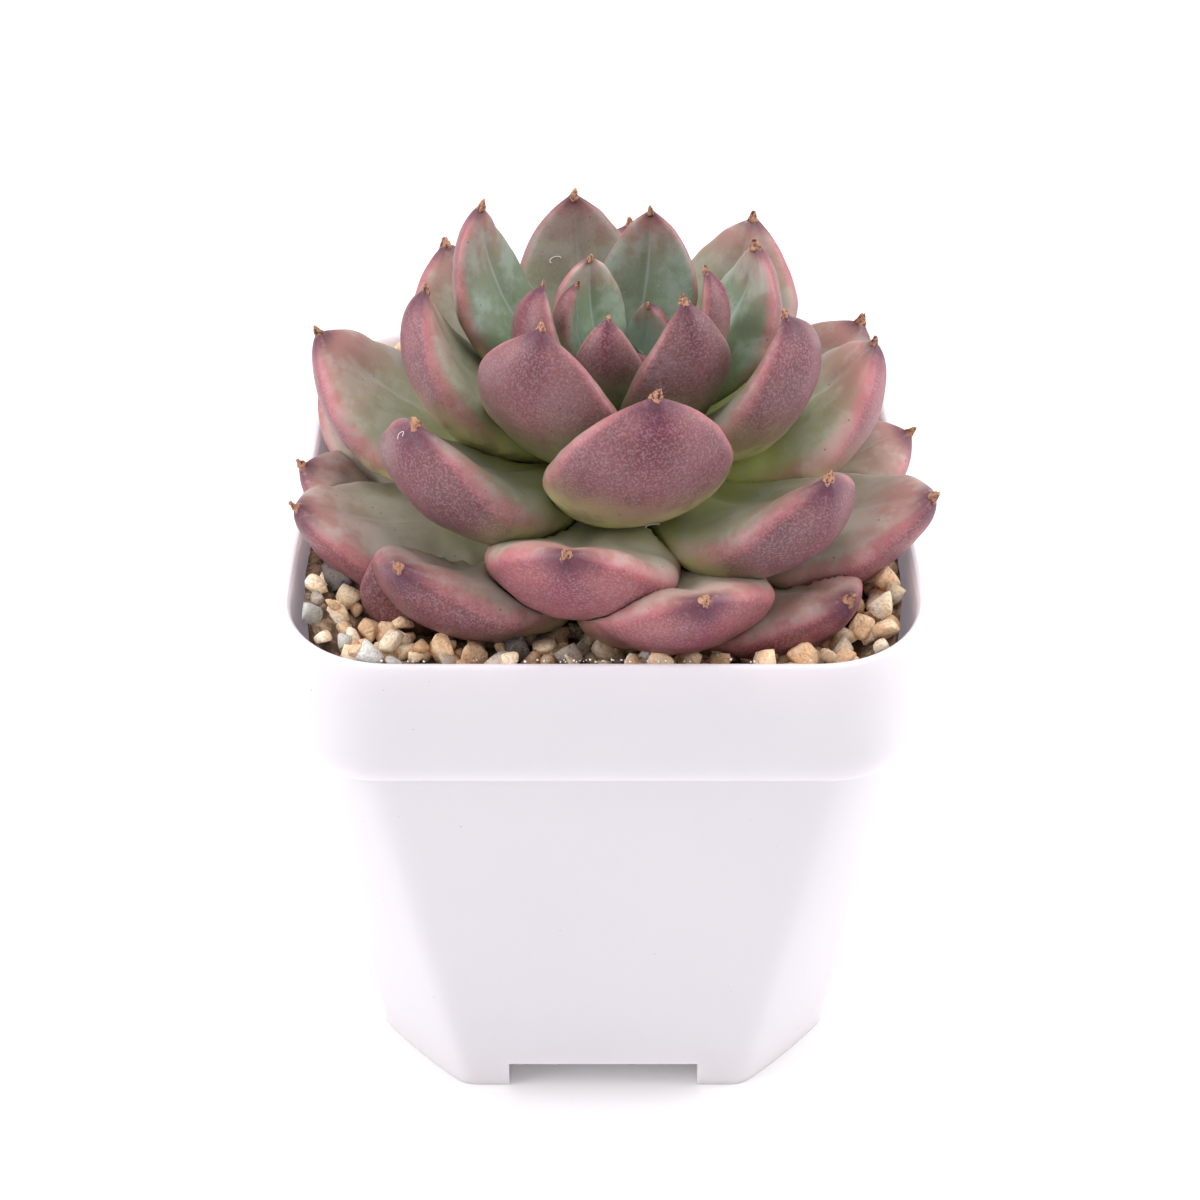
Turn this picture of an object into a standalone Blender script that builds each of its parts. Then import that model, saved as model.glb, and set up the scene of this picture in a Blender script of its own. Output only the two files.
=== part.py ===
"""Potted rosette succulent: a square plastic pot, soil, a gravel dressing, a stem and its leaves.

Metres, +Z up. The origin is the middle of the pot's footprint, on the surface that the pot
stands on. The pot's sides face -X, +X, -Y and +Y, and -Y is the front.
"""

import math

import bmesh
import bpy
import numpy as np

# ---------------------------------------------------------------- clearance
GAP = 0.0003                # left between any two pieces that touch

# ---------------------------------------------------------------- pot
POT_HEIGHT = 0.0725
RIM_HALF = 0.035            # half the width across the lip
BASE_HALF = 0.0285          # half the width across the feet
WALL = 0.001
BAND_HEIGHT = 0.0164        # the thickened band round the top
BAND_DRAFT = 0.0005         # how much each side of the band draws in by its lower edge
BAND_OVERHANG = 0.0011      # how far the band's lower edge stands out from the body
LIP_ROUND = 0.0004
RIM_CORNER = 0.0125
BAND_CORNER = 0.0095
SHOULDER_CORNER = 0.008
BASE_CORNER = 0.011
CORNER_STEPS = 6            # faces round each corner
CHANNEL_WIDTH = 0.0236      # the crossed channels under the floor
CHANNEL_HEIGHT = 0.0043
DRAIN_RADIUS = 0.003
ARM_DRAIN_RADIUS = 0.002
ARM_DRAIN_REACH = 0.016     # from the middle of the floor to each of the four outer holes

# ---------------------------------------------------------------- soil and gravel
GRAVEL_BELOW_RIM = 0.0045   # at the pot's wall
GRAVEL_DISH = 0.0048        # how much lower the gravel lies round the stem
DISH_STARTS = 0.76          # share of the way from the stem to the wall where the dish begins
DISH_ENDS = 0.36
STONE_SEGMENTS = 8
STONE_RINGS = 6

# ---------------------------------------------------------------- rosette
LEAF_COUNT = 36
ROSETTE_X = 0.0015          # the stem stands a little off the pot's middle
ROSETTE_Y = -0.0015
FIRST_LEAF_TURN = 314.5     # degrees from +X, seen from above
NEXT_LEAF_TURN = -137.5     # the golden angle, clockwise from each leaf to the next one out
LOWEST_LEAF_BELOW_RIM = 0.0006
ROSETTE_RISE = 0.012        # from the lowest leaf's base to the innermost one's
STEM_TOP_RADIUS = 0.0012
STEM_GROWTH = 0.0025        # added to the stem's radius by the lowest leaf
STEM_DEPTH = 0.030          # from the lowest leaf's base to the buried end
BUD_LEAF_LENGTH = 0.008
OUTER_LEAF_LENGTH = 0.0345
LENGTH_EASE = 0.33          # how fast the leaves lengthen from the bud outwards
BUD_LEAF_LIFT = 84.0        # degrees that the line from base to tip rises
OUTER_LEAF_LIFT = 6.0
LIFT_EASE = 1.3
BUD_LEAF_BEND = 26.0        # degrees that the middle line curls upwards from base to tip
OUTER_LEAF_BEND = 66.0
BEND_EASE = 0.5
MIDDLE_LEAF_BEND = 12.0     # added to the leaves half-way out, and less to the others
BUD_LEAF_HALF_WIDTH = 0.003
OUTER_LEAF_HALF_WIDTH = 0.0103
BUD_LEAF_THICKNESS = 0.003
OUTER_LEAF_THICKNESS = 0.0084
THICKNESS_EASE = 1.4
FULL_SIZE_SHARE = 0.5       # the share of the leaves from the bud to the first full-grown one
UPPER_SHARE = 0.2           # how much of the thickness lies above the middle surface
CUP_SHARE = 0.14            # how far the margins rise, as a share of the half width
CURL_SHARE = 0.042          # how far the line sags before its end, as a share of the length
WIDEST_AT = 0.57            # along the leaf
LEAF_SEGMENTS = 10
LEAF_RINGS = (0.02, 0.12, 0.27, 0.43, 0.58, 0.71, 0.82, 0.91, 0.965)

# Leaves that have grown away from the spiral's rule: number, counted from the bud, to
# (degrees turned, millimetres longer, degrees lifted).
STRAYS = {
    2: (0, -5.7, 0), 3: (0, -2, -4), 4: (-6, -3, 4), 6: (0, -1.4, 4), 8: (5, 2, 2), 9: (-1, 4, 2),
    10: (0, 0, 1), 11: (0, 1, 4), 12: (0, 1, 0), 13: (1, 2, 3), 14: (-1, 1, 4), 15: (-3, 1.5, -1),
    16: (5, 1.6, 5), 17: (1, 1, -3), 18: (-2, 1, -5), 19: (0, 1, -1), 20: (2, 0, 0),
    21: (4, 3, -4), 22: (2, 4, -2), 23: (-3, 1.2, -7), 24: (6, 0, -2.5), 26: (-2, 3.1, -8),
    27: (1, 3.4, -7.5), 29: (-2, -1, 0), 30: (6, 3, -5), 31: (-2, -1.3, -4), 32: (-3, 1, 7.5),
    33: (0, -1, 0), 34: (-5, -2, 0), 35: (-1, -1.3, 2.5),
}

# Loose stones, picked out by hand: (kind, share of the way from the pot's middle to the inner
# wall along X and along Y, half sizes in millimetres).
STONES = (
    ("lava", -0.84, -0.45, (1.7, 1.5, 1.4)), ("cream", -0.87, -0.66, (2.0, 1.5, 1.3)),
    ("tan", -0.79, -0.57, (1.4, 1.7, 1.2)), ("tan", -0.75, -0.72, (1.6, 1.3, 1.2)),
    ("cream", -0.63, -0.84, (1.7, 1.3, 1.2)), ("tan", -0.51, -0.84, (1.6, 1.5, 1.4)),
    ("lava", -0.28, -0.83, (1.8, 1.5, 1.7)), ("tan", -0.40, -0.87, (1.3, 1.2, 1.0)),
    ("grey", -0.11, -0.85, (1.5, 1.2, 1.1)), ("pale", 0.13, -0.87, (1.6, 1.1, 1.0)),
    ("tan", 0.63, -0.86, (1.8, 1.3, 1.3)), ("tan", 0.83, -0.73, (1.7, 1.5, 1.3)),
    ("cream", 0.89, -0.60, (1.6, 1.4, 1.2)), ("grey", 0.92, -0.42, (1.3, 1.6, 1.2)),
    ("tan", -0.92, 0.34, (1.3, 1.9, 1.3)), ("tan", -0.78, 0.85, (1.9, 1.6, 1.4)),
    ("tan", 0.91, 0.56, (1.5, 1.9, 1.3)), ("cream", 0.92, 0.74, (1.5, 1.6, 1.3)),
    ("tan", 0.45, 0.91, (1.9, 1.3, 1.3)), ("tan", -0.20, 0.93, (1.7, 1.3, 1.2)),
)

# ---------------------------------------------------------------- finishes: colour, roughness
FINISHES = {
    "pot": ((0.86, 0.85, 0.88), 0.38),
    "soil": ((0.10, 0.07, 0.05), 0.95),
    "gravel": ((0.62, 0.47, 0.30), 0.90),
    "stem": ((0.42, 0.40, 0.22), 0.65),
    "leaf_inner": ((0.25, 0.33, 0.25), 0.50),
    "leaf_middle": ((0.44, 0.24, 0.25), 0.52),
    "leaf_outer": ((0.46, 0.19, 0.20), 0.55),
    "tan": ((0.74, 0.55, 0.34), 0.90),
    "cream": ((0.85, 0.76, 0.62), 0.90),
    "lava": ((0.13, 0.12, 0.13), 0.92),
    "grey": ((0.35, 0.35, 0.33), 0.90),
    "pale": ((0.80, 0.80, 0.76), 0.88),
}

# ---------------------------------------------------------------- worked-out levels
BAND_BOTTOM = POT_HEIGHT - BAND_HEIGHT
BAND_HALF = RIM_HALF - BAND_DRAFT
SHOULDER_HALF = BAND_HALF - BAND_OVERHANG
SOIL_TOP = BAND_BOTTOM
GRAVEL_EDGE = POT_HEIGHT - GRAVEL_BELOW_RIM
LOWEST_LEAF_Z = POT_HEIGHT - LOWEST_LEAF_BELOW_RIM
OVERSHOOT = 0.002           # how far a cutter runs past the face that it cuts


# ---------------------------------------------------------------- scene helpers
def clear_scene():
    """Start from an empty scene with one collection for the parts and one for the cutters."""
    for old in list(bpy.data.objects):
        bpy.data.objects.remove(old, do_unlink=True)
    made = []
    for name in ("potted_succulent", "cutters"):
        collection = bpy.data.collections.new(name)
        bpy.context.scene.collection.children.link(collection)
        made.append(collection)
    return made


def finish_for(name, finish):
    """A Principled material of its own for one part."""
    colour, roughness = FINISHES[finish]
    material = bpy.data.materials.new(name)
    material.use_nodes = True
    shader = material.node_tree.nodes["Principled BSDF"]
    shader.inputs["Base Color"].default_value = (*colour, 1.0)
    shader.inputs["Roughness"].default_value = roughness
    shader.inputs["Metallic"].default_value = 0.0
    return material


def add_part(name, mesh, finish, smooth=True):
    """Put a finished mesh in the parts collection under its name."""
    part = bpy.data.objects.new(name, mesh)
    parts.objects.link(part)
    mesh.materials.clear()
    mesh.materials.append(finish_for(name, finish))
    if smooth:
        mesh.shade_smooth()
        mesh.set_sharp_from_angle(angle=math.radians(40))
    return part


def add_cutter(name, mesh):
    """Put a mesh in the cutters collection, where it is neither rendered nor built."""
    cutter = bpy.data.objects.new(name, mesh)
    cutters.objects.link(cutter)
    cutter.hide_render = True
    cutter.display_type = "WIRE"
    return cutter


def subtract(target, cutter):
    """Cut one object out of another."""
    cut = target.modifiers.new("less_" + cutter.name, "BOOLEAN")
    cut.operation = "DIFFERENCE"
    cut.solver = "EXACT"
    cut.object = cutter


def evaluated_mesh(source):
    """The object's mesh with its modifiers applied."""
    depsgraph = bpy.context.evaluated_depsgraph_get()
    return bpy.data.meshes.new_from_object(source.evaluated_get(depsgraph))


def mesh_from(shell, name):
    """Turn a worked mesh into Blender's own, split into triangles so that no face is bent."""
    bmesh.ops.triangulate(shell, faces=shell.faces)
    mesh = bpy.data.meshes.new(name)
    shell.to_mesh(mesh)
    shell.free()
    return mesh


def box_mesh(name, low, high):
    """A box between two corners."""
    shell = bmesh.new()
    bmesh.ops.create_cube(shell, size=1.0)
    for vertex in shell.verts:
        vertex.co = [a + (b - a) * (c + 0.5) for a, b, c in zip(low, high, vertex.co)]
    return mesh_from(shell, name)


def cylinder_mesh(name, radius, x, y, bottom, top):
    """An upright cylinder."""
    shell = bmesh.new()
    bmesh.ops.create_cone(shell, cap_ends=True, segments=20, radius1=radius, radius2=radius,
                          depth=top - bottom)
    bmesh.ops.translate(shell, vec=(x, y, (bottom + top) / 2), verts=shell.verts)
    return mesh_from(shell, name)


# ---------------------------------------------------------------- pot
def body_share(z):
    """How far up the pot's body a level lies, from 0 at the feet to 1 under the band."""
    return z / BAND_BOTTOM


def body_half(z):
    """Half the width of the pot's tapered body at a level."""
    return BASE_HALF + (SHOULDER_HALF - BASE_HALF) * body_share(z)


def body_corner(z):
    """How much the body's corners are cut back at a level."""
    return BASE_CORNER + (SHOULDER_CORNER - BASE_CORNER) * body_share(z)


def body_roundness(z):
    """The body's corners are flat cuts at the feet and turn rounder towards the band."""
    return 0.12 + 0.38 * body_share(z)


def ring(half, corner, roundness, z, inset=0.0):
    """One level of the pot: a square with its corners taken off.

    Roundness 1 gives arcs of radius `corner`, and 0 gives straight cuts that take `corner`
    off each side. Inset moves the whole outline inwards by that distance.
    """
    half = half - inset
    corner = corner - inset * (1.0 * roundness + (2 - math.sqrt(2)) * (1 - roundness))
    points = []
    for quarter in range(4):
        turn = quarter * math.pi / 2
        for step in range(CORNER_STEPS + 1):
            share = step / CORNER_STEPS
            angle = share * math.pi / 2
            arc_x = half - corner + corner * math.cos(angle)
            arc_y = half - corner + corner * math.sin(angle)
            cut_x = half - corner * share
            cut_y = half - corner * (1 - share)
            x = cut_x + (arc_x - cut_x) * roundness
            y = cut_y + (arc_y - cut_y) * roundness
            points.append((x * math.cos(turn) - y * math.sin(turn),
                           x * math.sin(turn) + y * math.cos(turn), z))
    return points


def body_ring(z, inset=0.0):
    """The tapered body's outline at a level."""
    return ring(body_half(z), body_corner(z), body_roundness(z), z, inset)


def loft(name, rings):
    """A closed solid through a stack of outlines with the same number of points."""
    shell = bmesh.new()
    levels = [[shell.verts.new(point) for point in outline] for outline in rings]
    count = len(levels[0])
    for lower, upper in zip(levels, levels[1:]):
        for i in range(count):
            j = (i + 1) % count
            shell.faces.new((lower[i], lower[j], upper[j], upper[i]))
    shell.faces.new(reversed(levels[0]))
    shell.faces.new(levels[-1])
    return mesh_from(shell, name)


def cavity_rings(gap, bottom, top, rim_half):
    """Outlines of the space inside the pot, drawn in by a gap, between two levels."""
    step_z = BAND_BOTTOM + WALL + gap
    return [
        body_ring(bottom, WALL + gap),
        ring(SHOULDER_HALF, SHOULDER_CORNER, body_roundness(BAND_BOTTOM), step_z, WALL + gap),
        ring(BAND_HALF, BAND_CORNER, 1.0, step_z, WALL + gap),
        ring(rim_half, RIM_CORNER, 1.0, top, WALL + gap),
    ]


def channel_boxes(name, clearance, bottom):
    """The crossed channels under the floor, grown by a clearance to the sides and upwards."""
    half = CHANNEL_WIDTH / 2 + clearance
    reach = RIM_HALF
    top = CHANNEL_HEIGHT + clearance
    return [
        add_cutter(name + "_x", box_mesh(name, (-reach, -half, bottom), (reach, half, top))),
        add_cutter(name + "_y", box_mesh(name, (-half, -reach, bottom), (half, reach, top))),
    ]


def build_pot():
    """The pot: a thin shell whose floor rises over two crossed channels with drain holes."""
    outside = loft("pot", [
        body_ring(0.0),
        body_ring(BAND_BOTTOM),
        ring(BAND_HALF, BAND_CORNER, 1.0, BAND_BOTTOM),
        ring(RIM_HALF, RIM_CORNER, 1.0, POT_HEIGHT - LIP_ROUND),
        ring(RIM_HALF, RIM_CORNER, 1.0, POT_HEIGHT, LIP_ROUND),
    ])
    inside = add_cutter("pot_cavity", loft("pot_cavity", cavity_rings(
        0.0, WALL, POT_HEIGHT + OVERSHOOT, RIM_HALF)))
    for box in channel_boxes("raised_floor", WALL, -OVERSHOOT):
        subtract(inside, box)
    pot = add_part("pot", outside, "pot")
    subtract(pot, inside)
    for box in channel_boxes("channel", 0.0, -OVERSHOOT):
        subtract(pot, box)
    holes = [("drain_middle", DRAIN_RADIUS, 0.0, 0.0)]
    for arm in range(4):
        turn = arm * math.pi / 2
        holes.append(("drain_arm_%d" % arm, ARM_DRAIN_RADIUS,
                      ARM_DRAIN_REACH * math.cos(turn), ARM_DRAIN_REACH * math.sin(turn)))
    floor_top = CHANNEL_HEIGHT + WALL
    for name, radius, x, y in holes:
        subtract(pot, add_cutter(name, cylinder_mesh(
            name, radius, x, y, CHANNEL_HEIGHT - OVERSHOOT, floor_top + OVERSHOOT)))
    return pot


# ---------------------------------------------------------------- soil, gravel and stem
def stem_radius(z):
    """The stem's radius where the leaves sit: wider from the bud down to the lowest leaf."""
    return STEM_TOP_RADIUS + STEM_GROWTH * (LOWEST_LEAF_Z + ROSETTE_RISE - z) / ROSETTE_RISE


def stem_mesh(name, gap):
    """The stem, turned from a profile: a cone up to the bud and a taper down into the soil."""
    foot = LOWEST_LEAF_Z - STEM_DEPTH
    tip = LOWEST_LEAF_Z + ROSETTE_RISE
    widest = stem_radius(LOWEST_LEAF_Z) + gap
    profile = [
        (0.0, tip + gap), (STEM_TOP_RADIUS + gap, tip + gap), (widest, LOWEST_LEAF_Z),
        (widest + 0.0003, LOWEST_LEAF_Z - 0.005), (0.6 * widest, foot + 0.008),
        (0.0012 + gap, foot - gap), (0.0, foot - gap),
    ]
    mesh = bpy.data.meshes.new(name)
    mesh.from_pydata([(r, 0.0, z) for r, z in profile],
                     [(i, i + 1) for i in range(len(profile) - 1)], [])
    turned = add_cutter(name + "_profile", mesh)
    screw = turned.modifiers.new("turn", "SCREW")
    screw.steps = 16
    screw.render_steps = 16
    screw.use_merge_vertices = True
    screw.merge_threshold = 0.00001
    shell = bmesh.new()
    shell.from_mesh(evaluated_mesh(turned))
    bmesh.ops.translate(shell, vec=(ROSETTE_X, ROSETTE_Y, 0.0), verts=shell.verts)
    bpy.data.objects.remove(turned, do_unlink=True)
    return mesh_from(shell, name)


def gravel_height(share):
    """The gravel's level, from the stem at 0 to the pot's inner wall at 1.

    It is flat near the wall and dips round the stem, as a smooth step between the two.
    """
    step = min(max((DISH_STARTS - share) / (DISH_STARTS - DISH_ENDS), 0.0), 1.0)
    return GRAVEL_EDGE - GRAVEL_DISH * step * step * (3 - 2 * step)


def gravel_half():
    """Half the inner width of the pot where the gravel meets it."""
    share = (GRAVEL_EDGE - BAND_BOTTOM) / BAND_HEIGHT
    return BAND_HALF + BAND_DRAFT * share - WALL


def dish_rings(lift):
    """Outlines down the gravel's dish, raised by a gap when they make room for the leaves."""
    steps = 4
    shares = [DISH_STARTS + (DISH_ENDS - DISH_STARTS) * i / steps for i in range(steps + 1)]
    return [ring(gravel_half() * share, RIM_CORNER * share, 1.0, gravel_height(share) + lift)
            for share in shares]


def build_soil(stem_space):
    """The soil, filling the pot from its floor to the lower edge of the band."""
    outline = [body_ring(z, WALL + GAP) for z in (WALL + GAP, SOIL_TOP)]
    soil = add_part("potting_soil", loft("potting_soil", outline), "soil")
    for box in channel_boxes("soil_floor", WALL + GAP, -OVERSHOOT):
        subtract(soil, box)
    subtract(soil, stem_space)
    return soil


def build_gravel(stem_space):
    """The gravel dressing, lying on the soil: level by the wall and dished round the stem."""
    rings = cavity_rings(GAP, SOIL_TOP + GAP, GRAVEL_EDGE, gravel_half() + WALL)
    gravel = add_part("gravel_dressing", loft("gravel_dressing", rings + dish_rings(0.0)), "gravel")
    subtract(gravel, stem_space)
    return gravel


def stone_mesh(name, spot, half_sizes, seed, gap=0.0):
    """A rounded stone: a sphere pushed in and out by a few seeded waves, resting on its lowest
    point at the spot. Gap moves the surface out."""
    rng = np.random.default_rng(seed)
    waves = rng.normal(size=(5, 3))
    phases = rng.uniform(0, 2 * math.pi, size=5)
    turn = rng.uniform(0, 2 * math.pi)
    shell = bmesh.new()
    bmesh.ops.create_uvsphere(shell, u_segments=STONE_SEGMENTS, v_segments=STONE_RINGS, radius=1.0)
    ball = np.array([vertex.co for vertex in shell.verts])
    bumps = 1 + 0.035 * np.sin(2.0 * ball @ waves.T + phases).sum(axis=1)
    points = ball * bumps[:, None] * np.array(half_sizes)
    points[:, 2] -= points[:, 2].min()
    points += ball * gap
    for vertex, (across, along, level) in zip(shell.verts, points):
        vertex.co = (spot[0] + across * math.cos(turn) - along * math.sin(turn),
                     spot[1] + across * math.sin(turn) + along * math.cos(turn),
                     spot[2] + level)
    return mesh_from(shell, name)


def build_stones():
    """The larger loose stones on the gravel, and the spaces that leaves leave round them."""
    spaces = []
    for number, (kind, share_x, share_y, sizes) in enumerate(STONES, start=1):
        name = "stone_%02d_%s" % (number, kind)
        half_sizes = [size / 1000 for size in sizes]
        spot = (share_x * gravel_half(), share_y * gravel_half(), GRAVEL_EDGE + GAP)
        add_part(name, stone_mesh(name, spot, half_sizes, number), kind)
        space = stone_mesh("space_" + name, spot, half_sizes, number, GAP)
        spaces.append(add_cutter("space_" + name, space))
    return spaces


# ---------------------------------------------------------------- leaves
def leaf_place(number):
    """Where one leaf grows: its heading, its base, and the length, lift and bend of its line."""
    out = number / (LEAF_COUNT - 1)
    turned, longer, lifted = STRAYS.get(number, (0, 0, 0))
    heading = math.radians(FIRST_LEAF_TURN + NEXT_LEAF_TURN * number + turned)
    length = (BUD_LEAF_LENGTH + (OUTER_LEAF_LENGTH - BUD_LEAF_LENGTH) * out ** LENGTH_EASE
              + longer / 1000)
    lift = OUTER_LEAF_LIFT + (BUD_LEAF_LIFT - OUTER_LEAF_LIFT) * (1 - out) ** LIFT_EASE + lifted
    bend = (BUD_LEAF_BEND + (OUTER_LEAF_BEND - BUD_LEAF_BEND) * out ** BEND_EASE
            + MIDDLE_LEAF_BEND * math.sin(math.pi * out) ** 2)
    base_z = LOWEST_LEAF_Z + ROSETTE_RISE * (1 - out)
    base_r = stem_radius(base_z) + GAP
    return heading, base_r, base_z, length, math.radians(lift), math.radians(bend)


def leaf_size(number):
    """One leaf's half width and thickness: both grow from the bud to the first full-grown leaf."""
    grown = min(number / (LEAF_COUNT - 1) / FULL_SIZE_SHARE, 1.0)
    half_width = BUD_LEAF_HALF_WIDTH + (OUTER_LEAF_HALF_WIDTH - BUD_LEAF_HALF_WIDTH) * grown
    thickness = (BUD_LEAF_THICKNESS
                 + (OUTER_LEAF_THICKNESS - BUD_LEAF_THICKNESS) * grown ** THICKNESS_EASE)
    return half_width, thickness


def outline_share(t):
    """The leaf's width along its length: a narrow base, widest past the middle, a blunt point."""
    growth = 0.25 + 0.75 * np.sin(np.pi / 2 * np.minimum(t / WIDEST_AT, 1)) ** 1.4
    closing = np.clip((t - WIDEST_AT) / (1 - WIDEST_AT), 0, 1)
    return growth * (1 - closing ** 2.2) ** 0.95


def depth_share(t):
    """The leaf's thickness along its length: it stays full until near the tip."""
    growth = 0.4 + 0.6 * np.sin(np.pi / 2 * np.minimum(t / 0.5, 1))
    closing = np.clip((t - 0.5) / 0.5, 0, 1)
    return growth * (1 - closing ** 2.6) ** 0.8


def leaf_mesh(name, number, gap=0.0):
    """One leaf: a sphere whose rings are spread along an upward curve and shaped by the outline.

    Round the section, the upper half is thin and slightly dished and the lower half is deep
    with a soft keel. The section's margins are raised by the cup, and the curl makes the last
    third of the leaf rise more steeply. Gap moves the surface out.
    """
    heading, base_r, base_z, length, lift, bend = leaf_place(number)
    half_width, thickness = leaf_size(number)
    shell = bmesh.new()
    bmesh.ops.create_uvsphere(shell, u_segments=LEAF_SEGMENTS, v_segments=len(LEAF_RINGS) + 1,
                              radius=1.0)
    ball = np.array([vertex.co for vertex in shell.verts])
    ring_number = np.rint((1 - np.arccos(np.clip(ball[:, 2], -1, 1)) / np.pi)
                          * (len(LEAF_RINGS) + 1)).astype(int)
    t = np.array((0.0, *LEAF_RINGS, 1.0))[ring_number]
    across = np.hypot(ball[:, 0], ball[:, 1])
    side = np.where(across > 0, ball[:, 0] / np.maximum(across, 1e-9), 0.0)
    upper = ball[:, 1] > 0
    flat = np.clip(1 - side ** 2, 0, 1)
    above = UPPER_SHARE * thickness * depth_share(t) * flat ** 0.7
    below = -(1 - UPPER_SHARE) * thickness * depth_share(t) * np.clip(
        1 - np.abs(side) ** 1.6, 0, 1) ** 0.8
    width = half_width * outline_share(t)
    cup = CUP_SHARE * width * side ** 2
    curl = CURL_SHARE * length * np.sin(np.pi * t ** 2.2)
    height = np.where(across > 1e-6, cup + np.where(upper, above, below), 0.0) - curl

    turn = bend * (t - 0.5)
    scale = length / (2 * math.sin(bend / 2))
    along = length / 2 + scale * np.sin(turn)
    sag = scale * (math.cos(bend / 2) - np.cos(turn))
    along = along - height * np.sin(turn)
    rise = sag + height * np.cos(turn)
    reach = base_r + along * math.cos(lift) - rise * math.sin(lift)
    level = base_z + along * math.sin(lift) + rise * math.cos(lift)
    sideways = np.where(across > 1e-6, width * side, 0.0)
    x = ROSETTE_X + reach * math.cos(heading) - sideways * math.sin(heading)
    y = ROSETTE_Y + reach * math.sin(heading) + sideways * math.cos(heading)
    for vertex, place in zip(shell.verts, np.stack([x, y, level], axis=1)):
        vertex.co = place
    bmesh.ops.recalc_face_normals(shell, faces=shell.faces)
    if gap:
        shell.normal_update()
        for vertex in shell.verts:
            vertex.co += vertex.normal * gap * 1.15
    return mesh_from(shell, name)


def corners(thing):
    """An object's lowest and highest corners."""
    points = np.array([vertex.co for vertex in thing.data.vertices])
    return points.min(axis=0), points.max(axis=0)


def meets(first, second):
    """Whether two objects' boxes overlap."""
    low_a, high_a = corners(first)
    low_b, high_b = corners(second)
    return bool((low_a < high_b).all() and (low_b < high_a).all())


def keep_largest(mesh):
    """Keep only the largest connected piece of a mesh."""
    shell = bmesh.new()
    shell.from_mesh(mesh)
    bmesh.ops.triangulate(shell, faces=shell.faces)
    left = set(shell.verts)
    pieces = []
    while left:
        piece = set()
        front = [left.pop()]
        while front:
            vertex = front.pop()
            piece.add(vertex)
            for edge in vertex.link_edges:
                other = edge.other_vert(vertex)
                if other in left:
                    left.remove(other)
                    front.append(other)
        pieces.append(piece)
    pieces.sort(key=len)
    for piece in pieces[:-1]:
        bmesh.ops.delete(shell, geom=list(piece), context="VERTS")
    shell.to_mesh(mesh)
    shell.free()


def build_leaves(stem_space, other_spaces):
    """All leaves, from the bud outwards. Each is pressed back by those inside it and by the
    stem, the pot's rim, the gravel and the stones, so that all keep the gap between them."""
    leaf_spaces = []
    for number in range(LEAF_COUNT):
        name = "leaf_%02d" % (number + 1)
        leaf = add_cutter(name + "_whole", leaf_mesh(name, number))
        for space in [stem_space] + leaf_spaces + other_spaces:
            if meets(leaf, space):
                subtract(leaf, space)
        mesh = evaluated_mesh(leaf)
        mesh.name = name
        keep_largest(mesh)
        bpy.data.objects.remove(leaf, do_unlink=True)
        finish = ("leaf_inner", "leaf_middle", "leaf_outer")[min(3 * number // LEAF_COUNT, 2)]
        add_part(name, mesh, finish)
        leaf_spaces.append(add_cutter("space_" + name, leaf_mesh("space_" + name, number, GAP)))


# ---------------------------------------------------------------- the whole object
parts, cutters = clear_scene()
stem_room = add_cutter("space_stem", stem_mesh("space_stem", GAP))
add_part("stem", stem_mesh("stem", 0.0), "stem")
build_pot()
build_soil(stem_room)
build_gravel(stem_room)
rim_room = add_cutter("space_rim", loft("space_rim", [
    ring(BAND_HALF, BAND_CORNER, 1.0, BAND_BOTTOM, -GAP),
    ring(RIM_HALF, RIM_CORNER, 1.0, POT_HEIGHT + GAP, -GAP),
]))
rim_hollow = add_cutter("space_rim_hollow", loft("space_rim_hollow", [
    ring(BAND_HALF, BAND_CORNER, 1.0, BAND_BOTTOM - OVERSHOOT, WALL + GAP),
    ring(RIM_HALF, RIM_CORNER, 1.0, POT_HEIGHT + OVERSHOOT, WALL + GAP),
]))
subtract(rim_room, rim_hollow)
gravel_room = add_cutter("space_gravel", loft("space_gravel", [
    ring(gravel_half(), RIM_CORNER, 1.0, SOIL_TOP),
    ring(gravel_half(), RIM_CORNER, 1.0, GRAVEL_EDGE + GAP),
] + dish_rings(GAP)))
build_leaves(stem_room, [rim_room, gravel_room] + build_stones())
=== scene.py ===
"""Looks for the potted rosette succulent: leaves, gravel, pot and studio, in metres."""
import logging
import math
from dataclasses import dataclass, field
from enum import Enum

import bmesh
import bpy
import numpy as np
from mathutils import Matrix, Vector


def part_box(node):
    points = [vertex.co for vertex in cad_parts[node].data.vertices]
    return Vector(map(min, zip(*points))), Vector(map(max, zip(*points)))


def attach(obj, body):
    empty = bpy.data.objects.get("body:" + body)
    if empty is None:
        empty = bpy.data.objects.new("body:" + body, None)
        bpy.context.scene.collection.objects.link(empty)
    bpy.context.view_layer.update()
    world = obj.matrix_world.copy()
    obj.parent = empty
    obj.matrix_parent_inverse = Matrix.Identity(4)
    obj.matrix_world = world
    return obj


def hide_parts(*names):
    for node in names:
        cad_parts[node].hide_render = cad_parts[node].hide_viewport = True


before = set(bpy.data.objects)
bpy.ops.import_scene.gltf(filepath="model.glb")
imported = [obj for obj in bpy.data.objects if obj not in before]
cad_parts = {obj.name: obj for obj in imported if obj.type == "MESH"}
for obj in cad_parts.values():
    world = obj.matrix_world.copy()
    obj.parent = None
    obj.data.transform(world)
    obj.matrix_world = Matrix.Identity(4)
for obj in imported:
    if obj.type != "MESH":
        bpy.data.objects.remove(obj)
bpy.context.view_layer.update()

log = logging.getLogger("succulent")

Colour = tuple[float, float, float]
Triple = tuple[float, float, float]
BODY = "root"
MM = 0.001


# ------------------------------------------------------------------ small maths
def smooth_step(low: float, high: float, value: np.ndarray) -> np.ndarray:
    """Rise from 0 at low to 1 at high as 3x^2 - 2x^3, flat outside them."""
    x = np.clip((value - low) / (high - low), 0.0, 1.0)
    return x * x * (3.0 - 2.0 * x)


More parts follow.
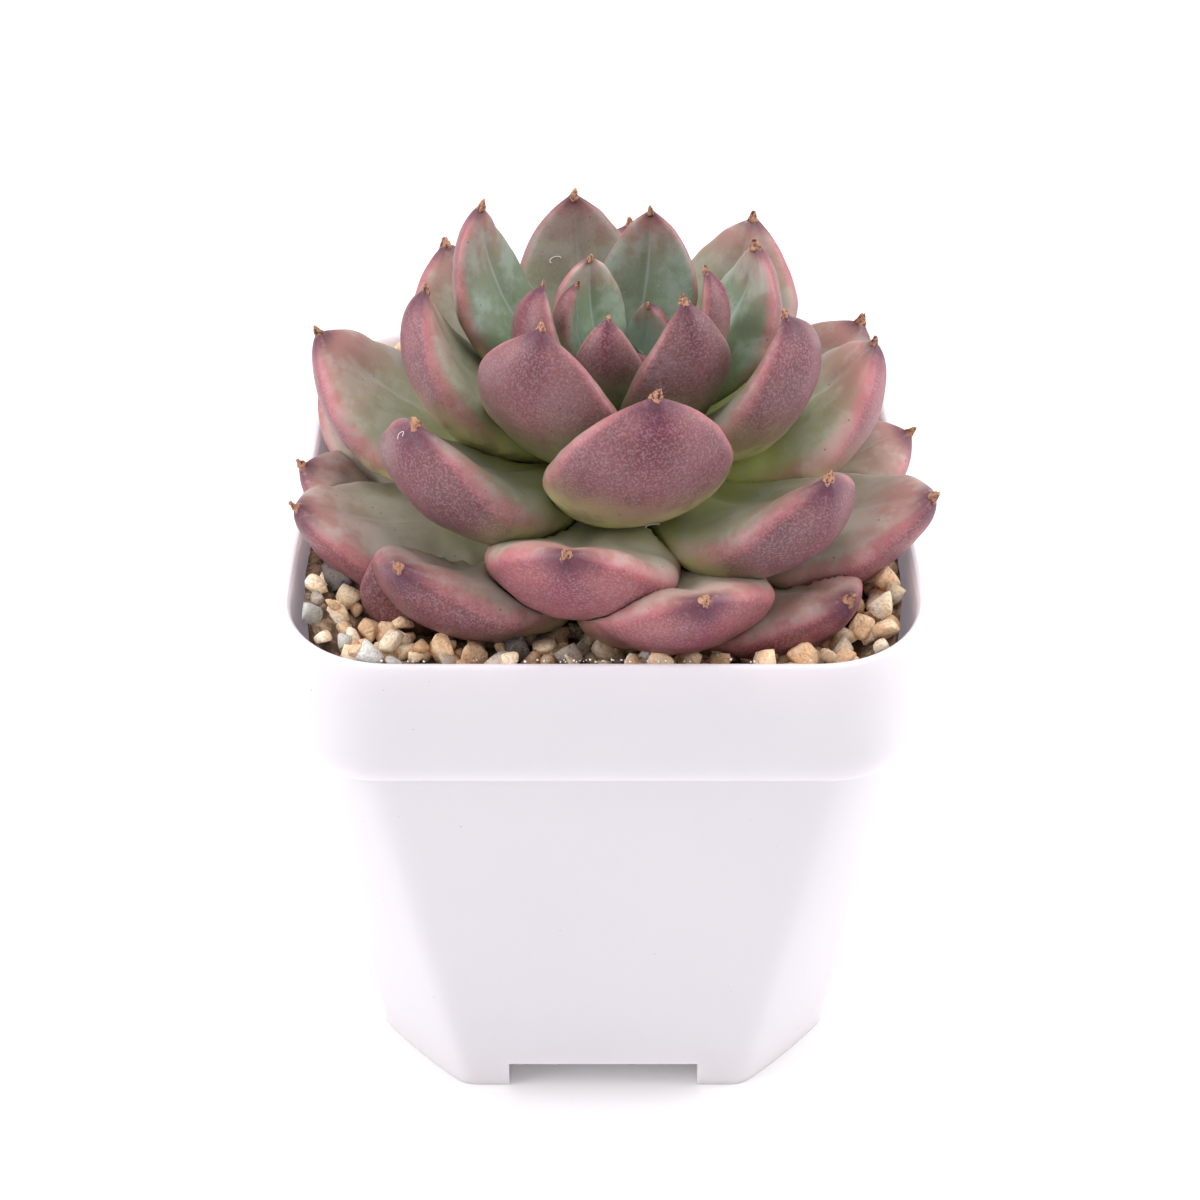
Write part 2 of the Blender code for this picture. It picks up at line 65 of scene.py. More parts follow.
def waves(points: np.ndarray, size: float, seed: int, count: int = 6) -> np.ndarray:
    """Soft seeded noise between about -1 and 1: a mean of sines along random directions.

    Args:
        points: places, one row each.
        size: the length of one wave.
        seed: which noise.
        count: how many sines are added.

    Returns:
        One value for each place.
    """
    rng = np.random.default_rng(seed)
    ways = rng.normal(size=(count, 3))
    ways /= np.linalg.norm(ways, axis=1)[:, None]
    phases = rng.uniform(0.0, 2.0 * np.pi, count)
    stretch = rng.uniform(0.7, 1.5, count)
    return np.sin(points @ (ways * stretch[:, None]).T * (2.0 * np.pi / size) + phases).mean(axis=1) * 1.6


def read_grid(grid: np.ndarray, row: np.ndarray, column: np.ndarray) -> np.ndarray:
    """Read a grid between its entries, evenly from the four nearest. Its columns go round.

    Args:
        grid: rows x columns of numbers or places.
        row: fractional rows, from 0 to the last.
        column: fractional columns, of any size.

    Returns:
        One number or place for each row and column given.
    """
    low = np.minimum(row.astype(int), len(grid) - 2)
    left = np.floor(column).astype(int)
    deeper = (1,) * (grid.ndim - 2)
    down = (row - low).reshape(*low.shape, *deeper)
    right = (column - left).reshape(*low.shape, *deeper)
    left, beside = left % grid.shape[1], (left + 1) % grid.shape[1]
    first = grid[low, left] * (1 - right) + grid[low, beside] * right
    second = grid[low + 1, left] * (1 - right) + grid[low + 1, beside] * right
    return first * (1 - down) + second * down


# ------------------------------------------------------------------ meshes from arrays
def new_object(name: str, points: np.ndarray, faces: list, smooth: bool = True) -> bpy.types.Object:
    """Make a mesh object at the origin from places and faces, and link it to the scene."""
    mesh = bpy.data.meshes.new(name)
    mesh.from_pydata(points.tolist(), [], faces)
    mesh.update()
    if smooth:
        mesh.shade_smooth()
    piece = bpy.data.objects.new(name, mesh)
    bpy.context.scene.collection.objects.link(piece)
    return piece


def strip_faces(rows: int, columns: int, first: int = 0) -> np.ndarray:
    """Quads between stacked rings of vertices, each ring closed on itself."""
    row, column = np.meshgrid(np.arange(rows - 1), np.arange(columns), indexing="ij")
    here = first + row * columns + column
    beside = first + row * columns + (column + 1) % columns
    return np.stack([here, beside, beside + columns, here + columns], axis=-1).reshape(-1, 4)


def closed_tube(rings: np.ndarray, start: np.ndarray, end: np.ndarray) -> tuple[np.ndarray, list]:
    """Close a stack of rings with a single vertex at each end.

    Args:
        rings: rows x columns x 3 places.
        start: the vertex before the first ring.
        end: the vertex after the last ring.

    Returns:
        The places and the faces.
    """
    rows, columns = rings.shape[:2]
    points = np.concatenate([start[None], rings.reshape(-1, 3), end[None]])
    around = np.arange(columns)
    after = (around + 1) % columns
    last = 1 + (rows - 1) * columns
    first_fan = np.stack([np.zeros(columns, int), 1 + after, 1 + around], axis=-1)
    last_fan = np.stack([np.full(columns, len(points) - 1), last + around, last + after], axis=-1)
    faces = strip_faces(rows, columns, 1).tolist() + first_fan.tolist() + last_fan.tolist()
    return points, faces


def face_outwards(piece: bpy.types.Object) -> None:
    """Recalculate a closed mesh's normals so that they point outwards."""
    shell = bmesh.new()
    shell.from_mesh(piece.data)
    bmesh.ops.recalc_face_normals(shell, faces=shell.faces)
    shell.to_mesh(piece.data)
    shell.free()


def store(piece: bpy.types.Object, name: str, values: np.ndarray) -> None:
    """Keep one number for each vertex under a name that a material can read."""
    layer = piece.data.attributes.new(name, "FLOAT", "POINT")
    layer.data.foreach_set("value", np.asarray(values, dtype=np.float32))


def bake_modifiers(piece: bpy.types.Object) -> None:
    """Apply all of a piece's modifiers to its mesh."""
    depsgraph = bpy.context.evaluated_depsgraph_get()
    mesh = bpy.data.meshes.new_from_object(piece.evaluated_get(depsgraph))
    old = piece.data
    piece.modifiers.clear()
    piece.data = mesh
    mesh.name = piece.name
    bpy.data.meshes.remove(old)


# ------------------------------------------------------------------ material wiring
class Wiring:
    """A material's node tree, with short calls for the nodes that these finishes use."""

    def __init__(self, name: str) -> None:
        """Start a material with a Principled shader."""
        self.material = bpy.data.materials.new(name)
        self.material.use_nodes = True
        self.tree = self.material.node_tree
        self.shader = self.tree.nodes["Principled BSDF"]
        self.place = self.tree.nodes.new("ShaderNodeTexCoord").outputs["Object"]

    def plug(self, socket: bpy.types.NodeSocket, value) -> None:
        """Put a number, a colour or another node's output into a socket."""
        if isinstance(value, bpy.types.NodeSocket):
            self.tree.links.new(value, socket)
        elif isinstance(value, tuple) and len(value) == 3 and socket.type == "RGBA":
            socket.default_value = (*value, 1.0)
        else:
            socket.default_value = value

    def read(self, name: str) -> bpy.types.NodeSocket:
        """A number stored on the mesh."""
        node = self.tree.nodes.new("ShaderNodeAttribute")
        node.attribute_name = name
        return node.outputs["Fac"]

    def sum(self, operation: str, first, second=0.0) -> bpy.types.NodeSocket:
        """One arithmetic step."""
        node = self.tree.nodes.new("ShaderNodeMath")
        node.operation = operation
        self.plug(node.inputs[0], first)
        self.plug(node.inputs[1], second)
        return node.outputs[0]

    def times(self, *values) -> bpy.types.NodeSocket:
        """The product of several values."""
        product = values[0]
        for value in values[1:]:
            product = self.sum("MULTIPLY", product, value)
        return product

    def scaled(self, value, factor: float, shift: float) -> bpy.types.NodeSocket:
        """A value times a factor, plus a shift."""
        node = self.tree.nodes.new("ShaderNodeMath")
        node.operation = "MULTIPLY_ADD"
        self.plug(node.inputs[0], value)
        node.inputs[1].default_value = factor
        node.inputs[2].default_value = shift
        return node.outputs[0]

    def rise(self, value, low: float, high: float) -> bpy.types.NodeSocket:
        """A smooth step from 0 at low to 1 at high, or down from 1 where low is above high."""
        node = self.tree.nodes.new("ShaderNodeMapRange")
        node.interpolation_type = "SMOOTHSTEP"
        falling = low > high
        self.plug(node.inputs["Value"], value)
        node.inputs["From Min"].default_value = min(low, high)
        node.inputs["From Max"].default_value = max(low, high)
        node.inputs["To Min"].default_value = 1.0 if falling else 0.0
        node.inputs["To Max"].default_value = 0.0 if falling else 1.0
        return node.outputs["Result"]

    def mix(self, share, first, second, blend: str = "MIX") -> bpy.types.NodeSocket:
        """Blend two colours."""
        node = self.tree.nodes.new("ShaderNodeMix")
        node.data_type = "RGBA"
        node.blend_type = blend
        self.plug(node.inputs["Factor"], share)
        self.plug(node.inputs[6], first)
        self.plug(node.inputs[7], second)
        return node.outputs[2]

    def height(self) -> bpy.types.NodeSocket:
        """The level above the floor."""
        node = self.tree.nodes.new("ShaderNodeSeparateXYZ")
        self.plug(node.inputs[0], self.place)
        return node.outputs[2]

    def grain(self, size: float, detail: float = 2.0, rough: float = 0.5,
              stretch: Triple = (1.0, 1.0, 1.0), shift: float = 0.0) -> bpy.types.NodeSocket:
        """Noise between 0 and 1 whose lumps are about `size` metres across."""
        where = self.place
        if shift or stretch != (1.0, 1.0, 1.0):
            mapping = self.tree.nodes.new("ShaderNodeMapping")
            self.plug(mapping.inputs["Vector"], self.place)
            mapping.inputs["Scale"].default_value = stretch
            mapping.inputs["Location"].default_value = (shift, shift, shift)
            where = mapping.outputs["Vector"]
        node = self.tree.nodes.new("ShaderNodeTexNoise")
        self.plug(node.inputs["Vector"], where)
        node.inputs["Scale"].default_value = 0.5 / size
        node.inputs["Detail"].default_value = detail
        node.inputs["Roughness"].default_value = rough
        return node.outputs["Fac"]

    def cells(self, size: float) -> bpy.types.NodeSocket:
        """Distance to the nearest of points scattered about `size` metres apart."""
        node = self.tree.nodes.new("ShaderNodeTexVoronoi")
        self.plug(node.inputs["Vector"], self.place)
        node.inputs["Scale"].default_value = 1.0 / size
        return node.outputs["Distance"]

    def bump(self, height, depth: float, strength: float = 1.0, under=None) -> bpy.types.NodeSocket:
        """Bend the normals by a height, `depth` metres from its 0 to its 1."""
        node = self.tree.nodes.new("ShaderNodeBump")
        node.inputs["Strength"].default_value = strength
        node.inputs["Distance"].default_value = depth
        self.plug(node.inputs["Height"], height)
        if under is not None:
            self.plug(node.inputs["Normal"], under)
        return node.outputs["Normal"]

    def set(self, **values) -> bpy.types.Material:
        """Fill the shader's sockets, named with underscores, and hand back the material."""
        for name, value in values.items():
            self.plug(self.shader.inputs[name.replace("_", " ")], value)
        return self.material


# ------------------------------------------------------------------ finishes
CRIMSON_STREAK = (0.24, 0.05, 0.075)
TIP_STAIN = (0.15, 0.016, 0.04)
# Painted shade: the dark of an underside lying in shade.
PAINTED_SHADE_MOTTLE = (0.14, 0.050, 0.058)
# A painted highlight in the pink of the margin.
PAINTED_MARGIN_HIGHLIGHT = (0.58, 0.20, 0.22)
PALE_BLOOM = (0.44, 0.31, 0.34)
WORN_LILAC = (0.38, 0.30, 0.38)
TIP_BRUISE = (0.090, 0.026, 0.052)
DIRT_SPECK = (0.07, 0.045, 0.04)
DUST = (0.70, 0.62, 0.56)


@dataclass(frozen=True)
class LeafSkin:
    """The skin of one age of leaf: its colours from base to tip, on both faces."""

    name: str
    slot: str
    upper_middle: Colour
    upper_base_and_painted_light: Colour
    under_middle: Colour
    under_base_and_painted_light: Colour
    flush: Colour
    glaucous: Colour
    bloom: float

    def material(self) -> bpy.types.Material:
        """Wire the skin.

        The two faces have colours of their own along the leaf; the pale bases are partly the
        leaf's own yellow-green and partly painted light in the shade between the leaves. The
        margin is flushed, with a painted highlight along its very edge, and the underside has a
        streak, a stain below the tip and patches of painted shade. Each leaf has a tone of its
        own, partly its colour and partly painted light and shade. A fine pale bloom lies over
        that, thicker on the underside, then worn patches, the bruised tip, specks and dust.
        """
        w = Wiring(self.name)
        along, across = w.read("along"), w.sum("ABSOLUTE", w.read("across"))
        under, luck, tone = w.read("under"), w.read("luck"), w.read("tone")
        patches = w.grain(5 * MM, 3.0)
        clouds = w.grain(2.2 * MM, 4.0, 0.6, shift=0.3)
        fine = w.grain(0.13 * MM, 2.0, 0.6)
        streaks = w.grain(0.5 * MM, 2.0, 0.6)
        place = w.sum("ADD", along, w.scaled(patches, 0.16, -0.08))

        # The upper base is partly the leaf's own pale yellow-green, partly painted light that lifts the shade
        # between the leaves.
        upper = w.mix(w.rise(place, 0.20, 0.66), self.upper_base_and_painted_light, self.upper_middle)
        upper = w.mix(w.times(w.rise(place, 0.66, 0.96), 0.65), upper, self.flush)
        upper = w.mix(w.times(w.rise(across, 0.88, 1.0), w.rise(place, 0.3, 0.7), 0.6), upper, self.flush)
        upper = w.mix(w.times(w.rise(clouds, 0.42, 0.60), 0.42), upper, self.glaucous)
        crease = w.times(w.rise(across, 0.055, 0.0), w.rise(place, 0.15, 0.35), w.rise(place, 0.95, 0.75))
        upper = w.mix(w.times(crease, 0.5), upper, self.glaucous)

        # The under base is partly the leaf's own pale yellow-green, partly painted light that lifts the shade
        # between the leaves.
        below = w.mix(w.rise(place, 0.42, 0.76), self.under_base_and_painted_light, self.under_middle)
        below = w.mix(w.times(w.rise(place, 0.76, 0.97), 0.35), below, self.flush)
        below = w.mix(w.times(w.rise(across, 0.93, 1.0), w.rise(place, 0.5, 0.9), 0.7), below, self.flush)
        streak = w.times(w.rise(across, 0.35, 0.0), w.rise(place, 0.45, 0.85), 0.45)
        below = w.mix(streak, below, CRIMSON_STREAK)
        stain = w.times(w.rise(across, 0.70, 0.10), w.rise(place, 0.74, 0.92), w.rise(patches, 0.2, 0.5))
        below = w.mix(w.times(stain, 0.9), below, TIP_STAIN)
        # Patches of painted shade on the underside, where the clouds dip.
        below = w.mix(w.times(w.rise(clouds, 0.56, 0.38), 0.42), below, PAINTED_SHADE_MOTTLE)

        # Each leaf's tone multiplies its skin: partly its own colour, partly painted light and shade.
        skin = w.mix(1.0, w.mix(under, upper, below), tone, "MULTIPLY")
        # A broken rosy line on the very margin: a painted highlight.
        edge = w.times(w.rise(across, 0.94, 1.0), w.rise(place, 0.35, 0.6), w.rise(streaks, 0.3, 0.6))
        skin = w.mix(w.times(edge, 0.25), skin, PAINTED_MARGIN_HIGHLIGHT)
        haze = w.times(w.rise(fine, 0.40, 0.72), w.scaled(under, 0.55, 0.40))
        skin = w.mix(w.times(haze, self.bloom), skin, PALE_BLOOM)
        worn = w.times(w.rise(patches, 0.63, 0.76), w.rise(streaks, 0.35, 0.6), w.rise(luck, 0.1, 0.4))
        skin = w.mix(w.times(worn, 0.26), skin, WORN_LILAC)
        bruise = w.times(w.rise(along, 0.90, 0.968), w.rise(streaks, 0.15, 0.5))
        skin = w.mix(w.times(bruise, 0.9), skin, TIP_BRUISE)
        specks = w.times(w.rise(w.cells(1.7 * MM), 0.11, 0.05), w.rise(clouds, 0.45, 0.6))
        skin = w.mix(w.times(specks, 0.7), skin, DIRT_SPECK)
        dust = w.rise(w.cells(1.3 * MM), 0.045, 0.02)
        skin = w.mix(w.times(dust, 0.5), skin, DUST)

        normal = w.bump(w.grain(0.35 * MM, 3.0, 0.6), 0.03 * MM, 0.6)
        normal = w.bump(patches, 0.35 * MM, 0.5, normal)
        gloss = w.scaled(fine, 0.22, 0.36)
        return w.set(Base_Color=skin, Roughness=gloss, Normal=normal, Specular_IOR_Level=0.42,
                     Subsurface_Weight=0.22, Subsurface_Radius=(1.0, 0.55, 0.3), Subsurface_Scale=1.8 * MM)


@dataclass(frozen=True)
class DryTip:
    """The dried point at the end of each leaf: tan cork with dark cracks."""

    light: Colour = (0.46, 0.24, 0.15)
    dark: Colour = (0.10, 0.035, 0.035)

    def material(self) -> bpy.types.Material:
        """Wire the cork, with cracks where fine noise dips and patches of painted highlight."""
        w = Wiring("dry_tip")
        cracks = w.rise(w.grain(0.22 * MM, 3.0, 0.65), 0.38, 0.56)
        colour = w.mix(cracks, self.dark, self.light)
        # Lighter tan patches on the cork: a painted highlight.
        colour = w.mix(w.times(w.rise(w.grain(0.6 * MM), 0.5, 0.7), 0.5), colour, (0.66, 0.42, 0.26))
        normal = w.bump(w.grain(0.2 * MM, 3.0, 0.65), 0.06 * MM, 0.8)
        return w.set(Base_Color=colour, Roughness=0.8, Normal=normal, Specular_IOR_Level=0.25)


class Rock(Enum):
    """The kinds of stone in the dressing, named as in the record's slots."""

    TAN = "tan"
    CREAM = "cream"
    LAVA = "lava"
    GREY = "grey"
    PALE = "pale"


@dataclass(frozen=True)
class StoneFinish:
    """One kind of stone: a ground colour, a second one in patches, and how rough it is."""

    rock: Rock
    ground: Colour
    patch: Colour
    pits: float

    def material(self) -> bpy.types.Material:
        """Wire the stone: each has its own tone, patches, fine grain and small pits."""
        w = Wiring("stone_" + self.rock.value)
        tone = w.read("tone")
        colour = w.mix(w.rise(w.grain(1.3 * MM, 3.0, 0.6), 0.40, 0.62), self.ground, self.patch)
        shade = w.scaled(tone, 0.50, 0.78)
        colour = w.mix(1.0, colour, shade, "MULTIPLY")
        grain = w.grain(0.16 * MM, 3.0, 0.7)
        colour = w.mix(w.times(w.rise(grain, 0.56, 0.36), 0.35), colour, (0.20, 0.12, 0.07))
        holes = w.rise(w.cells(0.55 * MM), 0.0, 0.45)
        normal = w.bump(grain, 0.09 * MM, 0.9)
        normal = w.bump(holes, self.pits * MM, 0.8, normal)
        return w.set(Base_Color=colour, Roughness=0.88, Normal=normal, Specular_IOR_Level=0.22)


@dataclass(frozen=True)
class PotPlastic:
    """Thin white polypropylene with a soft shine and a little dirt."""

    colour: Colour = (0.765, 0.715, 0.785)
    roughness: float = 0.36
    grimy_up_to: float = 0.012

    def material(self) -> bpy.types.Material:
        """Wire the plastic: faint clouding, a fine moulded grain and scattered specks of dirt."""
        w = Wiring("pot_plastic")
        clouds = w.grain(14 * MM, 2.0)
        colour = w.mix(w.times(w.rise(clouds, 0.35, 0.7), 0.5), self.colour, (0.775, 0.73, 0.79))
        foot = w.rise(w.height(), self.grimy_up_to, 0.0)
        colour = w.mix(w.times(foot, 0.35), colour, (0.82, 0.78, 0.73))
        specks = w.times(w.rise(w.cells(2.6 * MM), 0.045, 0.02), w.rise(w.grain(9 * MM), 0.48, 0.62))
        colour = w.mix(w.times(specks, 0.75), colour, (0.22, 0.17, 0.14))
        normal = w.bump(w.grain(0.5 * MM, 2.0), 0.012 * MM, 0.4)
        normal = w.bump(clouds, 0.25 * MM, 0.25, normal)
        return w.set(Base_Color=colour, Roughness=self.roughness, Normal=normal, Specular_IOR_Level=0.5,
                     Subsurface_Weight=0.5, Subsurface_Radius=(1.0, 0.93, 0.96), Subsurface_Scale=5.0 * MM)


@dataclass(frozen=True)
class Earth:
    """Potting mix and grit: dark crumbs with paler grains."""

    name: str
    dark: Colour
    light: Colour

    def material(self) -> bpy.types.Material:
        """Wire the crumbs with two sizes of noise."""
        w = Wiring(self.name)
        crumbs = w.grain(1.1 * MM, 4.0, 0.65)
        colour = w.mix(w.rise(crumbs, 0.42, 0.66), self.dark, self.light)
        normal = w.bump(crumbs, 0.8 * MM, 0.9)
        return w.set(Base_Color=colour, Roughness=0.95, Normal=normal, Specular_IOR_Level=0.15)


@dataclass(frozen=True)
class StemSkin:
    """The short green-brown stem with old leaf scars."""

    def material(self) -> bpy.types.Material:
        """Wire rings of scars over a mottled ground."""
        w = Wiring("stem_skin")
        scars = w.grain(1.2 * MM, 3.0, 0.6, (1.0, 1.0, 3.0))
        colour = w.mix(w.rise(scars, 0.4, 0.62), (0.20, 0.15, 0.07), (0.40, 0.40, 0.18))
        normal = w.bump(scars, 0.4 * MM, 0.8)
        return w.set(Base_Color=colour, Roughness=0.7, Normal=normal)


# ------------------------------------------------------------------ pot
@dataclass
class NurseryPot:
    """The square pot: a thin moulded shell with a band, chamfered lower corners and four feet."""

    height: float
    rim_half: float
    base_half: float = 0.0285
    wall: float = 0.001
    band_height: float = 0.0164
    band_draft: float = 0.0005
    band_overhang: float = 0.0011
    lip_round: float = 0.00045
    band_round: float = 0.0005
    rim_corner: float = 0.0125
    band_corner: float = 0.0095
    shoulder_corner: float = 0.008
    base_corner: float = 0.011
    channel_width: float = 0.0236
    channel_height: float = 0.0043
    drain_radius: float = 0.003
    arm_drain_radius: float = 0.002
    arm_drain_reach: float = 0.016
    around: int = 232
    corner_soften: float = 0.0009

    @property
    def band_bottom(self) -> float:
        """Level of the band's lower edge."""
        return self.height - self.band_height

    @property
    def band_half(self) -> float:
        """Half the width of the band at its lower edge."""
        return self.rim_half - self.band_draft

    @property
    def shoulder_half(self) -> float:
        """Half the width of the body just under the band."""
        return self.band_half - self.band_overhang

    def outline(self, half: float, corner: float, roundness: float, z: float,
                inset: float = 0.0) -> np.ndarray:
        """One level of the pot: a square with its corners taken off.

        Roundness 1 gives arcs of radius `corner`, and 0 straight cuts that take `corner` off
        each side; between them the two are blended. The outline is then spread evenly round
        and softened by a bell-shaped mean over `corner_soften`, which rounds its edges.

        Returns:
            `around` x 3 places, anticlockwise seen from above.
        """
        half = half - inset
        corner = corner - inset * (roundness + (2.0 - math.sqrt(2.0)) * (1.0 - roundness))
        share = np.linspace(0.0, 1.0, 25)
        angle = share * np.pi / 2.0
        arc = half - corner + corner * np.stack([np.cos(angle), np.sin(angle)], axis=1)
        cut = np.stack([half - corner * share, half - corner * (1.0 - share)], axis=1)
        quarter = cut + (arc - cut) * roundness
        turned = [quarter @ np.array([[math.cos(q), math.sin(q)], [-math.sin(q), math.cos(q)]])
                  for q in np.arange(4) * np.pi / 2.0]
        loop = np.concatenate(turned)
        loop = np.concatenate([loop, loop[:1]])
        walked = np.concatenate([[0.0], np.cumsum(np.linalg.norm(np.diff(loop, axis=0), axis=1))])
        fine = 1200
        even = np.linspace(0.0, walked[-1], fine, endpoint=False)
        points = np.stack([np.interp(even, walked, side) for side in loop.T], axis=1)
        spread = self.corner_soften / (walked[-1] / fine)
        reach = int(3 * spread) + 1
        offsets = np.arange(-reach, reach + 1)
        bell = np.exp(-0.5 * (offsets / spread) ** 2)
        bell /= bell.sum()
        rounded = sum(weight * np.roll(points, offset, axis=0) for weight, offset in zip(bell, offsets))
        pick = (np.arange(self.around) * fine / self.around).astype(int)
        return np.column_stack([rounded[pick], np.full(self.around, z)])

    def body(self, z: float, inset: float = 0.0) -> np.ndarray:
        """The tapered body's outline at a level."""
        share = z / self.band_bottom
        half = self.base_half + (self.shoulder_half - self.base_half) * share
        corner = self.base_corner + (self.shoulder_corner - self.base_corner) * share
        return self.outline(half, corner, 0.12 + 0.38 * share, z, inset)

    def band(self, z: float, inset: float = 0.0) -> np.ndarray:
        """The band's outline at a level."""
        share = (z - self.band_bottom) / self.band_height
        half = self.band_half + self.band_draft * share
        corner = self.band_corner + (self.rim_corner - self.band_corner) * share
        return self.outline(half, corner, 1.0, z, inset)

    def solid(self, name: str, rings: list[np.ndarray]) -> bpy.types.Object:
        """A closed solid through stacked outlines, with flat ends."""
        stack = np.stack(rings)
        faces = strip_faces(*stack.shape[:2]).tolist()
        columns = stack.shape[1]
        faces.append(list(range(columns))[::-1])
        faces.append(list(range((len(rings) - 1) * columns, len(rings) * columns)))
        return new_object(name, stack.reshape(-1, 3), faces)

    def outside(self) -> bpy.types.Object:
        """The pot's outer skin, with a rounded lip and a rounded lower edge to the band."""
        turn = np.linspace(0.0, np.pi / 2.0, 6)
        lip, edge = self.lip_round, 0.5 * self.lip_round
        foot = [self.body(edge * (1 - math.cos(a)), edge * (1 - math.sin(a))) for a in turn[1:]]
        wall = [self.body(z) for z in np.linspace(0.002, self.band_bottom - 0.0006, 22)]
        hollow = [self.body(self.band_bottom - 0.0003, -0.0001), self.body(self.band_bottom, -0.0004)]
        under = [self.band(self.band_bottom + self.band_round * (1 - math.cos(a)) * 0.9 + 1e-6,
                           self.band_round * (1 - math.sin(a))) for a in turn]
        side = [self.band(z) for z in np.linspace(self.band_bottom + 0.001, self.height - lip, 8)]
        top = [self.band(self.height - lip * (1 - math.sin(a)), lip * (1 - math.cos(a))) for a in turn[1:]]
        return self.solid("pot_shell", foot + wall + hollow + under + side + top)

    def cavity(self) -> bpy.types.Object:
        """The space inside the pot, which follows its outside one wall further in."""
        step = self.band_bottom + self.wall
        levels = [self.body(z, self.wall) for z in np.linspace(self.wall, step - 0.0004, 12)]
        levels.append(self.body(step, self.wall - 0.0003))
        levels += [self.band(z, self.wall) for z in np.linspace(step + 0.0005, self.height - 0.0008, 6)]
        levels.append(self.band(self.height - 0.0003, self.wall - 0.00008))
        levels.append(self.band(self.height, self.wall - 0.00035))
        levels.append(self.band(self.height + 0.001, self.wall - 0.0004))
        return self.solid("pot_cavity", levels)

    @staticmethod
    def block(name: str, low: tuple, high: tuple) -> bpy.types.Object:
        """A box between two corners."""
        corners = np.array([[(low, high)[i][0], (low, high)[j][1], (low, high)[k][2]]
                            for i in (0, 1) for j in (0, 1) for k in (0, 1)])
        faces = [[0, 1, 3, 2], [4, 6, 7, 5], [0, 4, 5, 1], [2, 3, 7, 6], [0, 2, 6, 4], [1, 5, 7, 3]]
        return new_object(name, corners, faces, smooth=False)

    def crossing(self, name: str, grown: float) -> list[bpy.types.Object]:
        """The two crossed channels under the floor, grown by a wall's thickness or not."""
        half, top = self.channel_width / 2.0 + grown, self.channel_height + grown
        return [self.block(name + "_x", (-0.04, -half, -0.002), (0.04, half, top)),
                self.block(name + "_y", (-half, -0.04, -0.002), (half, 0.04, top))]

    def drain(self, name: str, radius: float, x: float, y: float) -> bpy.types.Object:
        """An upright peg that makes one drain hole."""
        angle = np.linspace(0.0, 2.0 * np.pi, 40, endpoint=False)
        ring = np.column_stack([x + radius * np.cos(angle), y + radius * np.sin(angle), 0.0 * angle])
        stack = [ring + (0, 0, z) for z in (self.channel_height - 0.002, self.channel_height + 0.003)]
        return self.solid(name, stack)

    @staticmethod
    def take_away(target: bpy.types.Object, tools: list[bpy.types.Object]) -> None:
        """Cut tools out of a solid and throw the tools away."""
        for tool in tools:
            cut = target.modifiers.new(tool.name, "BOOLEAN")
            cut.operation, cut.solver, cut.object = "DIFFERENCE", "EXACT", tool
        bake_modifiers(target)
        for tool in tools:
            bpy.data.objects.remove(tool, do_unlink=True)

    def build(self, finish: PotPlastic) -> bpy.types.Object:
        """Cut the cavity, channels and drain holes out of the outer solid, and dress it."""
        shell, hollow = self.outside(), self.cavity()
        self.take_away(hollow, self.crossing("raised_floor", self.wall))
        reach, small = self.arm_drain_reach, self.arm_drain_radius
        drains = [self.drain("drain_middle", self.drain_radius, 0.0, 0.0)]
        drains += [self.drain("drain_%d" % i, small, reach * math.cos(i * math.pi / 2),
                              reach * math.sin(i * math.pi / 2)) for i in range(4)]
        self.take_away(shell, [hollow] + self.crossing("channel", 0.0) + drains)
        shell.data.set_sharp_from_angle(angle=math.radians(35))
        shell.data.materials.clear()
        shell.data.materials.append(finish.material())
        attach(shell, BODY)
        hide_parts("pot")
        return shell


# ------------------------------------------------------------------ rosette
# Leaves that leave the spiral's rule, by number: degrees turned, millimetres longer, degrees lifted.
STRAYS = {
    2: (0, -5.7, 0), 3: (0, -2, -4), 4: (-6, -3, 4), 6: (0, -1.4, 4), 8: (5, 2, 2), 9: (-1, 4, 2),
    10: (0, 0, 1), 11: (0, 1, 4), 12: (0, 1, 0), 13: (1, 2, 3), 14: (-1, 1, 4), 15: (-3, 1.5, -1),
    16: (5, 1.6, 5), 17: (1, 1, -3), 18: (-2, 1, -5), 19: (0, 1, -1), 20: (2, 0, 0),
    21: (4, 3, -4), 22: (2, 4, -2), 23: (-3, 1.2, -7), 24: (6, 0, -2.5), 26: (-2, 3.1, -8),
    27: (1, 3.4, -7.5), 29: (-2, -1, 0), 30: (6, 3, -5), 31: (-2, -1.3, -4), 32: (-3, 1, 7.5),
    33: (0, -1, 0), 34: (-5, -2, 0), 35: (-1, -1.3, 2.5),
}
# Millimetres that a leaf's middle bows sideways.
BOWS = {13: 1.0, 16: -1.4, 34: -0.7}
# How much rounder than the rule a leaf's outline closes, and how much wider it is.
FULLNESS = {11: 0.7, 13: 0.5, 14: 0.3, 16: 1.1, 19: 0.5, 21: 0.3, 24: 0.2, 29: 0.3}
WIDTHS = {11: 1.13, 21: 0.90, 13: 1.05}
# How light each leaf is beside the others of its age: partly its own tone, partly painted light and shade
# matched to how lit or shaded each leaf is.
LEAF_TONES_AND_PAINTED_LIGHT = {4: 1.7, 7: 1.0, 8: 0.70, 9: 1.12, 10: 1.25, 11: 0.86, 12: 0.68, 13: 0.80, 14: 0.95, 16: 0.90,
         18: 1.25, 19: 0.74, 21: 0.76, 22: 1.08, 24: 1.14, 26: 0.95, 27: 0.92, 29: 1.12, 31: 1.1, 32: 0.70,
         34: 0.95}


PAST_MARGIN_CLIMB = (2.5, 2.0)
PAST_TIP_CLIMB = 14.0
SAME_SIDE_COSINE = -0.15
SAME_SIDE_REACH = 0.012
FAR_SIDE_REACH = 0.0022
FOLLOWING_SHARE = 0.45


